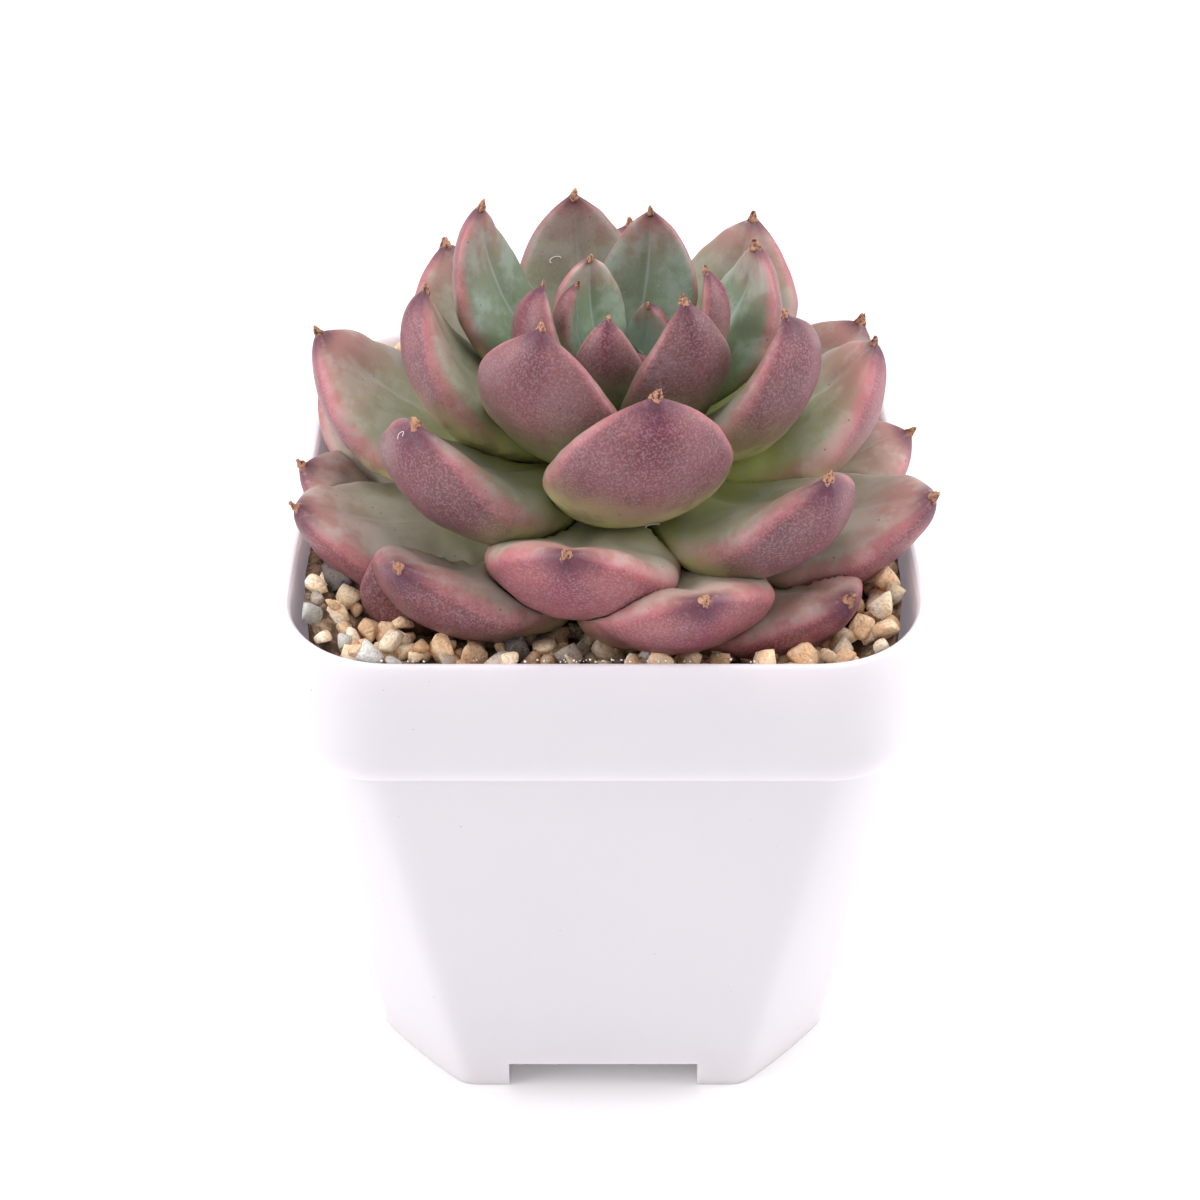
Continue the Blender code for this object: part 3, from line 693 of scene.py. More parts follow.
@dataclass
class Leaf:
    """One fleshy leaf: where it grows and how its line, outline and section are shaped.

    Its stations run from 0 at the base to 1 at the tip. `base_reach` is how far from the
    stem's axis it starts, and `tip_from` is where the outline's arch ends and its point takes
    over. `upper_share`, `margin_share` and `cup_share` divide the section's height, and
    `curl_share` is a share of the length.
    """

    number: int
    age: float
    heading: float
    base: tuple[float, float, float]
    base_reach: float
    length: float
    lift: float
    bend: float
    half_width: float
    thickness: float
    bow: float
    widest_at: float = 0.57
    upper_share: float = 0.2
    cup_share: float = 0.09
    margin_share: float = 0.27
    curl_share: float = 0.042
    tip_from: float = 0.965
    stations: np.ndarray = field(default_factory=lambda: np.linspace(0.0, 1.0, 86)[1:-1] ** 0.88)
    angles: np.ndarray = field(default_factory=lambda: np.linspace(0.0, 2.0 * np.pi, 60, endpoint=False))

    @property
    def blunt(self) -> float:
        """How blunt the end is: 0 on the pointed inner leaves, 1 on the lowest ones."""
        return float(smooth_step(0.35, 0.72, np.array(self.age)))

    def outline(self, t: np.ndarray) -> np.ndarray:
        """Width along the leaf: a narrow base, widest past the middle, and an arch up to a point.

        A power of a quarter sine up to the widest place, then (1 - x^p)^q, and near the end a
        short taper takes over where it is the wider of the two, which gives the tip hollow
        shoulders. The lowest leaves end more bluntly.
        """
        growth = 0.25 + 0.75 * np.sin(np.pi / 2 * np.minimum(t / self.widest_at, 1)) ** 1.3
        closing = np.clip((t - self.widest_at) / (self.tip_from - self.widest_at), 0, 1)
        full = 1.75 + 0.35 * self.blunt + FULLNESS.get(self.number, 0.0)
        arch = growth * (1 - closing ** full) ** (0.85 - 0.15 * self.blunt)
        point = (0.26 - 0.12 * self.blunt) * np.clip((1.0 - t) / 0.12, 0, 1) ** 1.2
        return (arch ** 3 + (point * smooth_step(0.6, 0.9, t)) ** 3) ** (1 / 3)

    def depth(self, t: np.ndarray) -> np.ndarray:
        """Thickness along the leaf: it stays full until near the tip, then closes bluntly."""
        growth = 0.45 + 0.55 * np.sin(np.pi / 2 * np.minimum(t / 0.5, 1))
        closing = np.clip((t - 0.5) / (self.tip_from + 0.01 - 0.5), 0, 1)
        arch = growth * (1 - closing ** (2.3 + 0.5 * self.blunt)) ** 0.75
        point = (0.22 - 0.08 * self.blunt) * np.clip((1.0 - t) / 0.12, 0, 1) ** 1.2
        return (arch ** 3 + (point * smooth_step(0.6, 0.9, t)) ** 3) ** (1 / 3)

    def section(self, t: np.ndarray, angle: np.ndarray) -> tuple[np.ndarray, np.ndarray, np.ndarray]:
        """Sideways place, height and signed share across for each station and angle round it.

        The upper face is flat-topped and rounds down to the margins, with a groove along its
        middle. The underside is deeper, round near the base and keeled towards the tip. Both
        are powers of 1 - |share|^p, and the margin lies a set share of the thickness down. The
        section sags by a sine of t^2.2, which curls the last third up, and a blunt leaf stands
        higher just before its end, so its upper face rolls over to the dried point.
        """
        share = np.cos(angle)[None, :] * np.ones_like(t)[:, None]
        rows = t[:, None]
        width = self.half_width * self.outline(t)[:, None]
        deep = self.thickness * self.depth(t)[:, None]
        fades = smooth_step(0.1, 0.4, rows) * smooth_step(1.0, 0.75, rows)
        groove = 0.09 * np.exp(-(share / 0.14) ** 2) * fades
        side = self.margin_share
        top = np.clip(1 - np.abs(share) ** 3.2, 0, 1) ** 0.5
        above = deep * ((self.upper_share + side) * top - side - groove)
        keel = 2.1 - 0.45 * smooth_step(0.45, 0.9, rows)
        bottom = np.clip(1 - np.abs(share) ** keel, 0, 1) ** 0.56
        below = -deep * ((1 - self.upper_share - side) * bottom + side)
        height = self.cup_share * width * share ** 2 + np.where(np.sin(angle)[None, :] > 0, above, below)
        raised = self.tip_drop * smooth_step(0.0, 0.4, rows) * (1 - smooth_step(0.82, 1.0, rows) ** 1.2)
        curl = self.curl_share * self.length * np.sin(np.pi * rows ** 2.2)
        return width * share, height + raised - curl, share

    @property
    def tip_drop(self) -> float:
        """How far a blunt leaf's upper face rolls down to its dried point."""
        return 0.0016 * self.blunt

    def place(self, t: np.ndarray, sideways: np.ndarray, height: np.ndarray) -> np.ndarray:
        """Bend a station's section onto the leaf's line, an arc that curls upwards.

        The arc's chord has the leaf's length and lift. Its tangent turns by `bend` from base
        to tip, so a station's turn from the chord is bend x (t - 1/2). A few leaves also bow
        sideways, by 4 t (1 - t) of their bow.
        """
        turn = self.bend * (t - 0.5)
        sideways = sideways + self.bow * 4 * t * (1 - t)
        scale = self.length / (2.0 * math.sin(self.bend / 2.0))
        along = self.length / 2.0 + scale * np.sin(turn) - height * np.sin(turn)
        rise = scale * (math.cos(self.bend / 2.0) - np.cos(turn)) + height * np.cos(turn)
        reach = self.base_reach + along * math.cos(self.lift) - rise * math.sin(self.lift)
        level = self.base[2] + along * math.sin(self.lift) + rise * math.cos(self.lift)
        x = self.base[0] + reach * math.cos(self.heading) - sideways * math.sin(self.heading)
        y = self.base[1] + reach * math.sin(self.heading) + sideways * math.cos(self.heading)
        return np.stack([x, y, level + 0.0 * x], axis=-1)

    def locate(self, points: np.ndarray) -> tuple[np.ndarray, np.ndarray, np.ndarray]:
        """The reverse of `place`: station, sideways place and height of any points.

        In the leaf's own plane the line is an arc, so a point's angle about the arc's centre
        gives its station, and the radius less its distance from the centre gives its height.
        """
        x, y = points[..., 0] - self.base[0], points[..., 1] - self.base[1]
        reach = x * math.cos(self.heading) + y * math.sin(self.heading) - self.base_reach
        sideways = -x * math.sin(self.heading) + y * math.cos(self.heading)
        level = points[..., 2] - self.base[2]
        along = reach * math.cos(self.lift) + level * math.sin(self.lift)
        rise = -reach * math.sin(self.lift) + level * math.cos(self.lift)
        scale = self.length / (2.0 * math.sin(self.bend / 2.0))
        out, up = along - self.length / 2.0, scale * math.cos(self.bend / 2.0) - rise
        t = np.arctan2(out, up) / self.bend + 0.5
        return t, sideways - self.bow * 4 * t * (1 - t), scale - np.hypot(out, up)

    def rings(self) -> np.ndarray:
        """Places of the leaf's skin: stations x angles x 3, with soft seeded lumps."""
        sideways, height, _ = self.section(self.stations, self.angles)
        rows = self.stations[:, None] * np.ones_like(sideways)
        rings = self.place(rows, sideways, height)
        middle = rings.mean(axis=1, keepdims=True)
        flat = rings.reshape(-1, 3)
        lumps = waves(flat, 9 * MM, 100 + self.number) * 0.05 + waves(flat, 3.5 * MM, self.number) * 0.014
        return rings + (rings - middle) * lumps.reshape(*rings.shape[:2], 1)

    def underside(self, t: np.ndarray, share: np.ndarray, skin: np.ndarray) -> np.ndarray:
        """Height of a finished skin's underside at a station and share across.

        The skin's own heights are read back from the lower half of its grid, whose columns are
        even steps of angle.
        """
        _, _, height = self.locate(skin)
        half = len(self.angles) // 2
        lower = np.concatenate([height[:, half:], height[:, :1]], axis=1)
        column = (1.0 - np.arccos(np.clip(share, -1, 1)) / np.pi) * half
        return read_grid(lower, self.row_at(t), column)

    def row_at(self, t: np.ndarray) -> np.ndarray:
        """The fractional row of the skin's grid at a station."""
        return np.interp(t, self.stations, np.arange(len(self.stations)))

    def press(self, rings: np.ndarray, inner: list[tuple["Leaf", np.ndarray]], gap: float) -> np.ndarray:
        """Push the skin down and out from under the leaves inside it.

        Each vertex that would be higher than an inner leaf's underside, less the gap, moves
        along that leaf's own height to it. Past the inner leaf's margin the limit climbs with
        the distance and its square, and past its tip with the distance, which leaves a soft
        imprint. The underside follows by as much as keeps part of the thickness.

        Args:
            rings: this leaf's skin.
            inner: the leaves nearer the bud, with their finished skins.
            gap: how far apart the skins are left.

        Returns:
            The pressed skin.
        """
        around = rings.shape[1]
        mirrored = (-np.arange(around)) % around
        upper = np.sin(self.angles) > 0
        start = rings.copy()
        for _ in range(2):
            for other, skin in inner:
                if not self.near(rings, skin):
                    continue
                t, sideways, height = other.locate(rings)
                width = other.half_width * np.maximum(other.outline(np.clip(t, 0.0, 1.0)), 0.02)
                share = sideways / width
                past = np.maximum(np.abs(sideways) - width, 0) / MM
                ahead = np.maximum(t - 1.0, 0) * other.length / MM
                limit = other.underside(np.clip(t, 0.0, 1.0), share, skin) - gap
                climb, bend = PAST_MARGIN_CLIMB
                limit = limit + (climb * past + bend * past ** 2 + PAST_TIP_CLIMB * ahead) * MM
                over = np.clip(height - limit, 0, None)
                over = np.where((t > 0.0) & (over < self.reach_under(other)) & (t < 1.3), over, 0)
                moved = other.place(np.clip(t, -0.5, 1.5), sideways, height - over)
                rings = np.where(over[..., None] > 0, moved, rings)
        push = rings - start
        thick = np.linalg.norm(start - start[:, mirrored], axis=-1, keepdims=True)
        size = np.linalg.norm(push, axis=-1, keepdims=True)
        follows = np.clip(1.0 - FOLLOWING_SHARE * thick / np.maximum(size[:, mirrored], 1e-9), 0, 1)
        carried = push[:, mirrored] * follows
        needs = np.linalg.norm(carried, axis=-1, keepdims=True) > size
        return np.where(upper[None, :, None] | ~needs, rings, start + carried)

    def reach_under(self, other: "Leaf") -> float:
        """How far a vertex may be moved to get under another leaf: little where they face apart."""
        same_side = math.cos(self.heading - other.heading) > SAME_SIDE_COSINE
        return SAME_SIDE_REACH if same_side else FAR_SIDE_REACH

    @staticmethod
    def near(rings: np.ndarray, others: np.ndarray) -> bool:
        """Whether two skins' boxes meet."""
        return bool((rings.min(axis=(0, 1)) < others.max(axis=(0, 1))).all()
                    and (others.min(axis=(0, 1)) < rings.max(axis=(0, 1))).all())

    def build(self, rings: np.ndarray) -> bpy.types.Object:
        """Close the skin into a mesh, with the numbers that its finish reads."""
        points, faces = closed_tube(rings, rings[0].mean(axis=0), rings[-1].mean(axis=0))
        piece = new_object("leaf_skin_%02d" % (self.number + 1), points, faces)
        face_outwards(piece)
        rows = self.stations[:, None] * np.ones(rings.shape[:2])
        share = np.cos(self.angles)[None, :] * np.ones_like(rows)
        underside = smooth_step(0.25, -0.25, np.sin(self.angles))[None, :] * np.ones_like(rows)
        for name, values, first, last in (("along", rows, 0.0, 1.0), ("across", share, 0.0, 0.0),
                                          ("under", underside, 0.5, 0.5)):
            store(piece, name, np.concatenate([[first], values.ravel(), [last]]))
        luck = np.random.default_rng(700 + self.number).uniform()
        store(piece, "luck", np.full(len(points), luck))
        # The leaf's tone: partly its own colour, partly painted light and shade.
        store(piece, "tone", np.full(len(points), LEAF_TONES_AND_PAINTED_LIGHT.get(self.number, 1.0)))
        return piece


@dataclass(frozen=True)
class Fibre:
    """One dust fibre: the leaf it lies on, where it starts, and how it curls.

    It starts at a station and a column of the skin's grid, is `long` millimetres long, sets
    off at the angle `first` and turns by `curl`, in radians.
    """

    leaf: int
    station: float
    column: float
    long: float
    first: float
    curl: float
    radius: float = 0.035 * MM
    steps: int = 26
    sides: int = 6

    def path(self, leaf: Leaf, skin: np.ndarray) -> tuple[np.ndarray, np.ndarray]:
        """Walk over the skin's grid in even steps: the fractional rows and columns."""
        row = float(leaf.row_at(self.station))
        i, j = int(row), int(self.column)
        tall = np.linalg.norm(skin[i + 1, j] - skin[i, j])
        wide = np.linalg.norm(skin[i, (j + 1) % skin.shape[1]] - skin[i, j])
        share = np.linspace(0.0, 1.0, self.steps)
        turn = self.first + self.curl * share ** 1.4 + 0.5 * np.sin(7 * share)
        step = self.long * MM / self.steps
        rows = np.clip(row + np.cumsum(np.sin(turn)) * step / tall, 1, len(skin) - 3)
        return rows, self.column + np.cumsum(np.cos(turn)) * step / wide

    def tube(self, leaf: Leaf, skin: np.ndarray) -> tuple[np.ndarray, list]:
        """A thin tube just off the skin, whose ends stand up further.

        Its height off the skin grows with the 1.5th power of the distance from near its middle.
        """
        rows, columns = self.path(leaf, skin)
        low, left = rows.astype(int), np.floor(columns).astype(int) % skin.shape[1]
        here = skin[low, left]
        out = np.cross(skin[low, (left + 1) % skin.shape[1]] - here, skin[low + 1, left] - here)
        out /= np.linalg.norm(out, axis=1)[:, None]
        away = read_grid(skin, low.astype(float), columns) - skin[low].mean(axis=1)
        out *= np.sign((away * out).sum(axis=1))[:, None]
        share = np.linspace(0.0, 1.0, self.steps)
        lifted = (0.07 + 0.5 * np.abs(share - 0.45) ** 1.5) * MM
        line = read_grid(skin, rows, columns) + out * lifted[:, None]
        ahead = np.gradient(line, axis=0)
        ahead /= np.linalg.norm(ahead, axis=1)[:, None]
        side = np.cross(ahead, out)
        side /= np.linalg.norm(side, axis=1)[:, None]
        upright = np.cross(side, ahead)
        angle = np.linspace(0, 2 * np.pi, self.sides, endpoint=False)[None, :, None]
        spokes = side[:, None] * np.cos(angle) + upright[:, None] * np.sin(angle)
        return closed_tube(line[:, None] + spokes * self.radius, line[0], line[-1])


LINT_WHITE = (0.85, 0.80, 0.78)
FIBRES = [
    Fibre(13, 0.50, 52.0, 2.6, 0.6, 2.6), Fibre(19, 0.93, 41.0, 2.8, 2.6, -3.4),
    Fibre(12, 0.72, 12.0, 2.2, 2.0, 3.8), Fibre(16, 0.55, 47.0, 2.0, 3.0, 2.0),
    Fibre(18, 0.42, 40.0, 3.0, 1.0, 2.2), Fibre(21, 0.30, 38.0, 2.6, 0.4, 3.0),
    Fibre(17, 0.80, 36.0, 2.0, 2.0, -2.6), Fibre(8, 0.35, 50.0, 2.4, 0.9, -2.0),
    Fibre(27, 0.60, 42.0, 2.2, 2.8, 1.8), Fibre(22, 0.55, 44.0, 2.0, 0.2, 2.4),
    Fibre(34, 0.50, 48.0, 2.4, 0.0, 1.6),
]


@dataclass
class Rosette:
    """All the leaves on their spiral, pressed together without passing through each other."""

    rim_level: float
    centre: tuple[float, float] = (0.0015, -0.0015)
    count: int = 36
    first_turn: float = 314.5
    next_turn: float = -137.5
    lowest_below_rim: float = 0.0006
    rise: float = 0.012
    stem_top_radius: float = 0.0012
    stem_growth: float = 0.0025
    gap: float = 0.0003
    bud_length: float = 0.008
    growth_in_length: float = 0.0265
    length_ease: float = 0.33
    lowest_lift: float = 6.0
    lift_range: float = 78.0
    lift_ease: float = 1.3
    bud_bend: float = 26.0
    bend_range: float = 40.0
    middle_bend: float = 12.0
    bud_half_width: float = 0.003
    half_width_growth: float = 0.0073
    bud_thickness: float = 0.003
    thickness_growth: float = 0.0054
    thickness_ease: float = 1.4
    full_width_at: float = 0.5
    press_gap: float = 0.00012

    def leaf(self, number: int) -> Leaf:
        """Work out one leaf from its place in the spiral, counted from the bud.

        Length grows as a power of the share of the way out, and the lift of the line from
        base to tip falls as a power of the share that is left.
        """
        out = number / (self.count - 1)
        turned, longer, lifted = STRAYS.get(number, (0, 0, 0))
        grown = min(out / self.full_width_at, 1.0)
        half_width = self.bud_half_width + self.half_width_growth * grown
        bend = self.bud_bend + self.bend_range * out ** 0.5 + self.middle_bend * math.sin(math.pi * out) ** 2
        return Leaf(
            number=number,
            age=out,
            heading=math.radians(self.first_turn + self.next_turn * number + turned),
            base=(*self.centre, self.rim_level - self.lowest_below_rim + self.rise * (1 - out)),
            base_reach=self.stem_top_radius + self.stem_growth * out + self.gap,
            length=self.bud_length + self.growth_in_length * out ** self.length_ease + longer * MM,
            lift=math.radians(self.lowest_lift + self.lift_range * (1 - out) ** self.lift_ease + lifted),
            bend=math.radians(bend),
            half_width=half_width * WIDTHS.get(number, 1.0),
            thickness=self.bud_thickness + self.thickness_growth * grown ** self.thickness_ease,
            bow=BOWS.get(number, 0.0) * MM,
        )

    def tips(self, leaves: list[Leaf]) -> bpy.types.Object:
        """The dried points: a small cracked cone on the end of each leaf.

        Each is a tube whose width falls with a power of the way along it, with lobes round it
        as cosines of the angle.
        """
        points, faces, start = [], [], 0
        for leaf in leaves:
            rng = np.random.default_rng(900 + leaf.number)
            grown = min(leaf.age / 0.3, 1.0)
            reach = (0.0008 + 0.0006 * grown) * rng.uniform(0.9, 1.15) / leaf.length
            rows = np.linspace(0.0, 1.0, 14)[:, None]
            angle = np.linspace(0.0, 2.0 * np.pi, 20, endpoint=False)[None, :]
            size = (0.00026 + 0.00044 * grown) * rng.uniform(0.75, 1.2)
            waist = 0.80 + 0.20 * np.sin(np.pi * np.minimum(rows * 2, 1))
            fall = size * (1.0 - 0.66 * rows ** 2.6) * waist
            lobes = 1.0 + 0.16 * np.cos(angle * 3 + rng.uniform(0, 6))
            lobes = lobes + 0.09 * np.cos(angle * 5 + rng.uniform(0, 6))
            lean = rng.uniform(-0.2, 0.2, 2) * MM * rows ** 1.5
            across = fall * np.cos(angle) * lobes + lean[:, :1]
            up = fall * np.sin(angle) * lobes * 0.9 + lean[:, 1:]
            t = 1.0 - reach * (1.0 - rows) - 0.15 * MM / leaf.length + 0.0 * angle
            up = up - leaf.curl_share * leaf.length * np.sin(np.pi * t ** 2.2)
            rings = leaf.place(t, across, up)
            ends = rings[[0, -1]].mean(axis=1)
            lumps = waves(rings.reshape(-1, 3), 0.5 * MM, leaf.number + 40) * size * 0.13
            rings += lumps.reshape(*across.shape, 1)
            more, tube = closed_tube(rings, ends[0], ends[1])
            points.append(more)
            faces += [[index + start for index in face] for face in tube]
            start += len(more)
        piece = new_object("dry_tips", np.concatenate(points), faces)
        face_outwards(piece)
        piece.data.materials.append(DryTip().material())
        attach(piece, BODY)
        return piece

    def build(self, skins: list[LeafSkin]) -> int:
        """Make, press and dress every leaf, from the bud outwards, then their dried tips."""
        materials = [skin.material() for skin in skins]
        leaves = [self.leaf(number) for number in range(self.count)]
        done: list[tuple[Leaf, np.ndarray]] = []
        for leaf in leaves:
            rings = leaf.press(leaf.rings(), done, self.press_gap)
            piece = leaf.build(rings)
            age = min(3 * leaf.number // self.count, 2)
            piece.data.materials.append(materials[age])
            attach(piece, BODY)
            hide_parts("leaf_%02d" % (leaf.number + 1))
            done.append((leaf, rings))
        self.tips(leaves)
        self.lint(done)
        return len(done)

    def lint(self, done: list[tuple[Leaf, np.ndarray]]) -> None:
        """Lay the dust fibres on the finished skins, as one piece."""
        points, faces, start = [], [], 0
        for fibre in FIBRES:
            more, tube = fibre.tube(*done[fibre.leaf])
            points.append(more)
            faces += [[index + start for index in face] for face in tube]
            start += len(more)
        piece = new_object("lint", np.concatenate(points), faces)
        face_outwards(piece)
        w = Wiring("lint_fibre")
        piece.data.materials.append(w.set(Base_Color=LINT_WHITE, Roughness=0.8, Specular_IOR_Level=0.2))
        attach(piece, BODY)


# ------------------------------------------------------------------ gravel
# Stones laid one by one: kind, place across and along, and radius, in millimetres.
LAID_STONES = [
    (Rock.LAVA, -29.4, -18.2, 2.4), (Rock.LAVA, -26.2, -18.6, 2.1), (Rock.GREY, -3.7, -30.4, 1.8),
    (Rock.TAN, -31.4, 9.0, 2.2), (Rock.CREAM, -31.2, 5.5, 1.9), (Rock.TAN, 31.2, 12.5, 2.4),
    (Rock.CREAM, 31.4, 16.8, 2.3), (Rock.TAN, 31.2, 8.0, 2.0), (Rock.TAN, -26.6, 30.6, 2.4),
    (Rock.TAN, -22.5, 31.2, 2.1), (Rock.CREAM, 30.4, -22.7, 2.0), (Rock.TAN, 31.0, -18.5, 2.0),
]


@dataclass
class Gravel:
    """The dressing: a bed of grit, hundreds of small stones on it, and the larger loose ones."""

    edge_level: float
    half: float
    corner: float
    bottom: float
    centre: tuple[float, float] = (0.0015, -0.0015)
    dish: float = 0.0048
    dish_starts: float = 0.76
    dish_ends: float = 0.36
    bed_below: float = 0.0016
    spacing: float = 0.0029
    sharpness: float = 0.42
    heap: float = 0.0020
    heap_place: tuple[float, float] = (-0.80, -0.75)
    heap_spread: float = 0.42
    bank: float = 0.0031
    end_bank: float = 0.0021
    rim_level: float = 0.0725
    spilt_grains: int = 46
    forms: int = 12
    from_wall: float = 0.00135
    from_stem: float = 0.005
    seed: int = 11

    def level(self, x: np.ndarray, y: np.ndarray) -> np.ndarray:
        """The gravel's level: banked against the wall, heaped in a corner and dished round the stem.

        The banks and the dish are smooth steps of the share of the way out, and the heap is
        a bell of the distance from its middle.
        """
        across, along = x / self.half, y / self.half
        from_heap = np.hypot(across - self.heap_place[0], along - self.heap_place[1])
        heaped = self.heap * np.exp(-(from_heap / self.heap_spread) ** 2)
        side = self.bank * smooth_step(0.74, 0.97, np.abs(across))
        end = self.end_bank * smooth_step(0.78, 0.97, np.abs(along))
        share = np.maximum(np.abs(across), np.abs(along))
        dished = self.dish * smooth_step(self.dish_starts, self.dish_ends, share)
        return self.edge_level + heaped + np.maximum(side, end) - dished

    def inside(self, x: np.ndarray, y: np.ndarray, margin: float) -> np.ndarray:
        """Whether places lie within the pot's rounded square, a margin in from its wall."""
        half = self.half - margin
        corner = self.corner - margin
        over_x = np.maximum(np.abs(x) - (half - corner), 0)
        over_y = np.maximum(np.abs(y) - (half - corner), 0)
        return np.hypot(over_x, over_y) <= corner

    def bed(self, finish: Earth) -> bpy.types.Object:
        """The grit bed: rings of a rounded square from the wall to the middle, made lumpy."""
        rows, columns = 60, 200
        turn = np.linspace(0, 2 * np.pi, columns, endpoint=False)
        square = (np.abs(np.cos(turn)) ** 5 + np.abs(np.sin(turn)) ** 5) ** (-1 / 5)
        reach = (self.half - 0.0002) * square
        share = np.linspace(1.0, 0.02, rows)
        x = share[:, None] * (reach * np.cos(turn))[None, :]
        y = share[:, None] * (reach * np.sin(turn))[None, :]
        z = self.level(x, y) - self.bed_below
        flat = np.stack([x, y, z], axis=-1).reshape(-1, 3)
        z = z + (waves(flat, 2.6 * MM, 5, 12) * 0.5 * MM).reshape(z.shape)
        rings = np.concatenate([np.stack([x[0], y[0], 0 * x[0] + self.bottom], axis=-1)[None],
                                np.stack([x, y, z], axis=-1)])
        points, faces = closed_tube(rings, np.array([0, 0, self.bottom]), np.array([0, 0, z[-1].mean()]))
        piece = new_object("grit_bed", points, faces)
        face_outwards(piece)
        piece.data.materials.append(finish.material())
        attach(piece, BODY)
        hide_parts("gravel_dressing")
        return piece

    def pebble(self, seed: int, corners: int, levels: int) -> tuple[np.ndarray, np.ndarray]:
        """A broken stone about one unit in radius: the hull of seeded points, rounded by subdivision.

        Returns:
            Its places and its quads.
        """
        rng = np.random.default_rng(seed)
        cloud = rng.normal(size=(corners, 3))
        cloud /= np.linalg.norm(cloud, axis=1)[:, None]
        cloud *= rng.uniform(0.86, 1.22, corners)[:, None]
        shell = bmesh.new()
        for point in cloud:
            shell.verts.new(point)
        hull = bmesh.ops.convex_hull(shell, input=shell.verts)
        bmesh.ops.delete(shell, geom=[v for v in hull["geom_interior"] if isinstance(v, bmesh.types.BMVert)],
                         context="VERTS")
        bmesh.ops.recalc_face_normals(shell, faces=shell.faces)
        crease = shell.edges.layers.float.new("crease_edge")
        for edge in shell.edges:
            edge[crease] = self.sharpness
        mesh = bpy.data.meshes.new("pebble")
        shell.to_mesh(mesh)
        shell.free()
        holder = bpy.data.objects.new("pebble", mesh)
        bpy.context.scene.collection.objects.link(holder)
        rounding = holder.modifiers.new("round", "SUBSURF")
        rounding.levels = rounding.render_levels = levels
        bake_modifiers(holder)
        places = np.empty(len(holder.data.vertices) * 3)
        holder.data.vertices.foreach_get("co", places)
        quads = np.empty(len(holder.data.loops), dtype=int)
        holder.data.loops.foreach_get("vertex_index", quads)
        made = holder.data
        bpy.data.objects.remove(holder, do_unlink=True)
        bpy.data.meshes.remove(made)
        return places.reshape(-1, 3), quads.reshape(-1, 4)

    def scatter(self) -> list[tuple[Rock, int, np.ndarray]]:
        """Choose every small stone: its kind, its form, and its place, size, turns and tone.

        The stones start from a hexagonal grid with seeded shifts, in two layers, and keep
        within the pot's wall and off the stem.
        """
        rng = np.random.default_rng(self.seed)
        chosen = []
        kinds = [Rock.TAN, Rock.CREAM, Rock.LAVA, Rock.GREY, Rock.PALE]
        shares = [0.58, 0.36, 0.008, 0.017, 0.035]
        for layer, (lift, spread) in enumerate(((-0.9 * MM, 1.0), (0.35 * MM, 1.35))):
            pitch = self.spacing * spread
            steps = int(self.half / pitch) + 2
            counted = np.arange(-steps, steps + 1)
            row, column = np.meshgrid(counted, counted, indexing="ij")
            x = (column + 0.5 * (row % 2)).ravel() * pitch + rng.normal(0, 0.25, row.size) * pitch
            y = row.ravel() * pitch * 0.87 + rng.normal(0, 0.25, row.size) * pitch
            size = rng.uniform(1.05, 2.0, row.size) * MM * (1.0, 0.95)[layer]
            from_middle = np.hypot(x - self.centre[0], y - self.centre[1])
            keep = self.inside(x, y, self.from_wall) & (from_middle > self.from_stem)
            for i in np.flatnonzero(keep):
                z = float(self.level(x[i], y[i])) + lift + rng.normal(0, 0.22) * MM
                turns = rng.uniform(0, 2 * np.pi, 3)
                stretch = rng.uniform(0.72, 1.12, 3)
                kind = kinds[int(rng.choice(5, p=shares))]
                form = int(rng.integers(self.forms))
                numbers = np.array([x[i], y[i], z, size[i], *turns, *stretch, rng.uniform()])
                chosen.append((kind, form, numbers))
        return chosen + self.loose_pieces()

    def loose_pieces(self) -> list[tuple[Rock, int, np.ndarray]]:
        """The listed stones laid on the dressing, and grit spilt along the front of the rim."""
        rng = np.random.default_rng(self.seed + 1)
        laid = []
        for kind, x, y, size in LAID_STONES:
            z = float(self.level(np.array(x * MM), np.array(y * MM))) + 0.9 * MM
            form = int(rng.integers(self.forms))
            turns, stretch = rng.uniform(0, 2 * np.pi, 3), rng.uniform(0.8, 1.05, 3)
            laid.append((kind, form, np.array([x * MM, y * MM, z, size * MM, *turns, *stretch, 0.5])))
        for _ in range(self.spilt_grains):
            x, y = rng.normal(-3, 9) * MM, -self.half - rng.uniform(0.15, 0.55) * MM
            grain = rng.uniform(0.07, 0.17) * MM
            form = int(rng.integers(self.forms))
            turns = rng.uniform(0, 2 * np.pi, 3)
            z = self.rim_level + 0.3 * grain
            laid.append((Rock.PALE, form, np.array([x, y, z, grain, *turns, 1, 1, 1, 1.0])))
        return laid

    @staticmethod
    def turned(angles: np.ndarray) -> np.ndarray:
        """The matrix that turns by three angles about X, Y and Z in that order."""
        (cx, cy, cz), (sx, sy, sz) = np.cos(angles), np.sin(angles)
        about_x = np.array([[1, 0, 0], [0, cx, -sx], [0, sx, cx]])
        about_y = np.array([[cy, 0, sy], [0, 1, 0], [-sy, 0, cy]])
        about_z = np.array([[cz, -sz, 0], [sz, cz, 0], [0, 0, 1]])
        return about_z @ about_y @ about_x

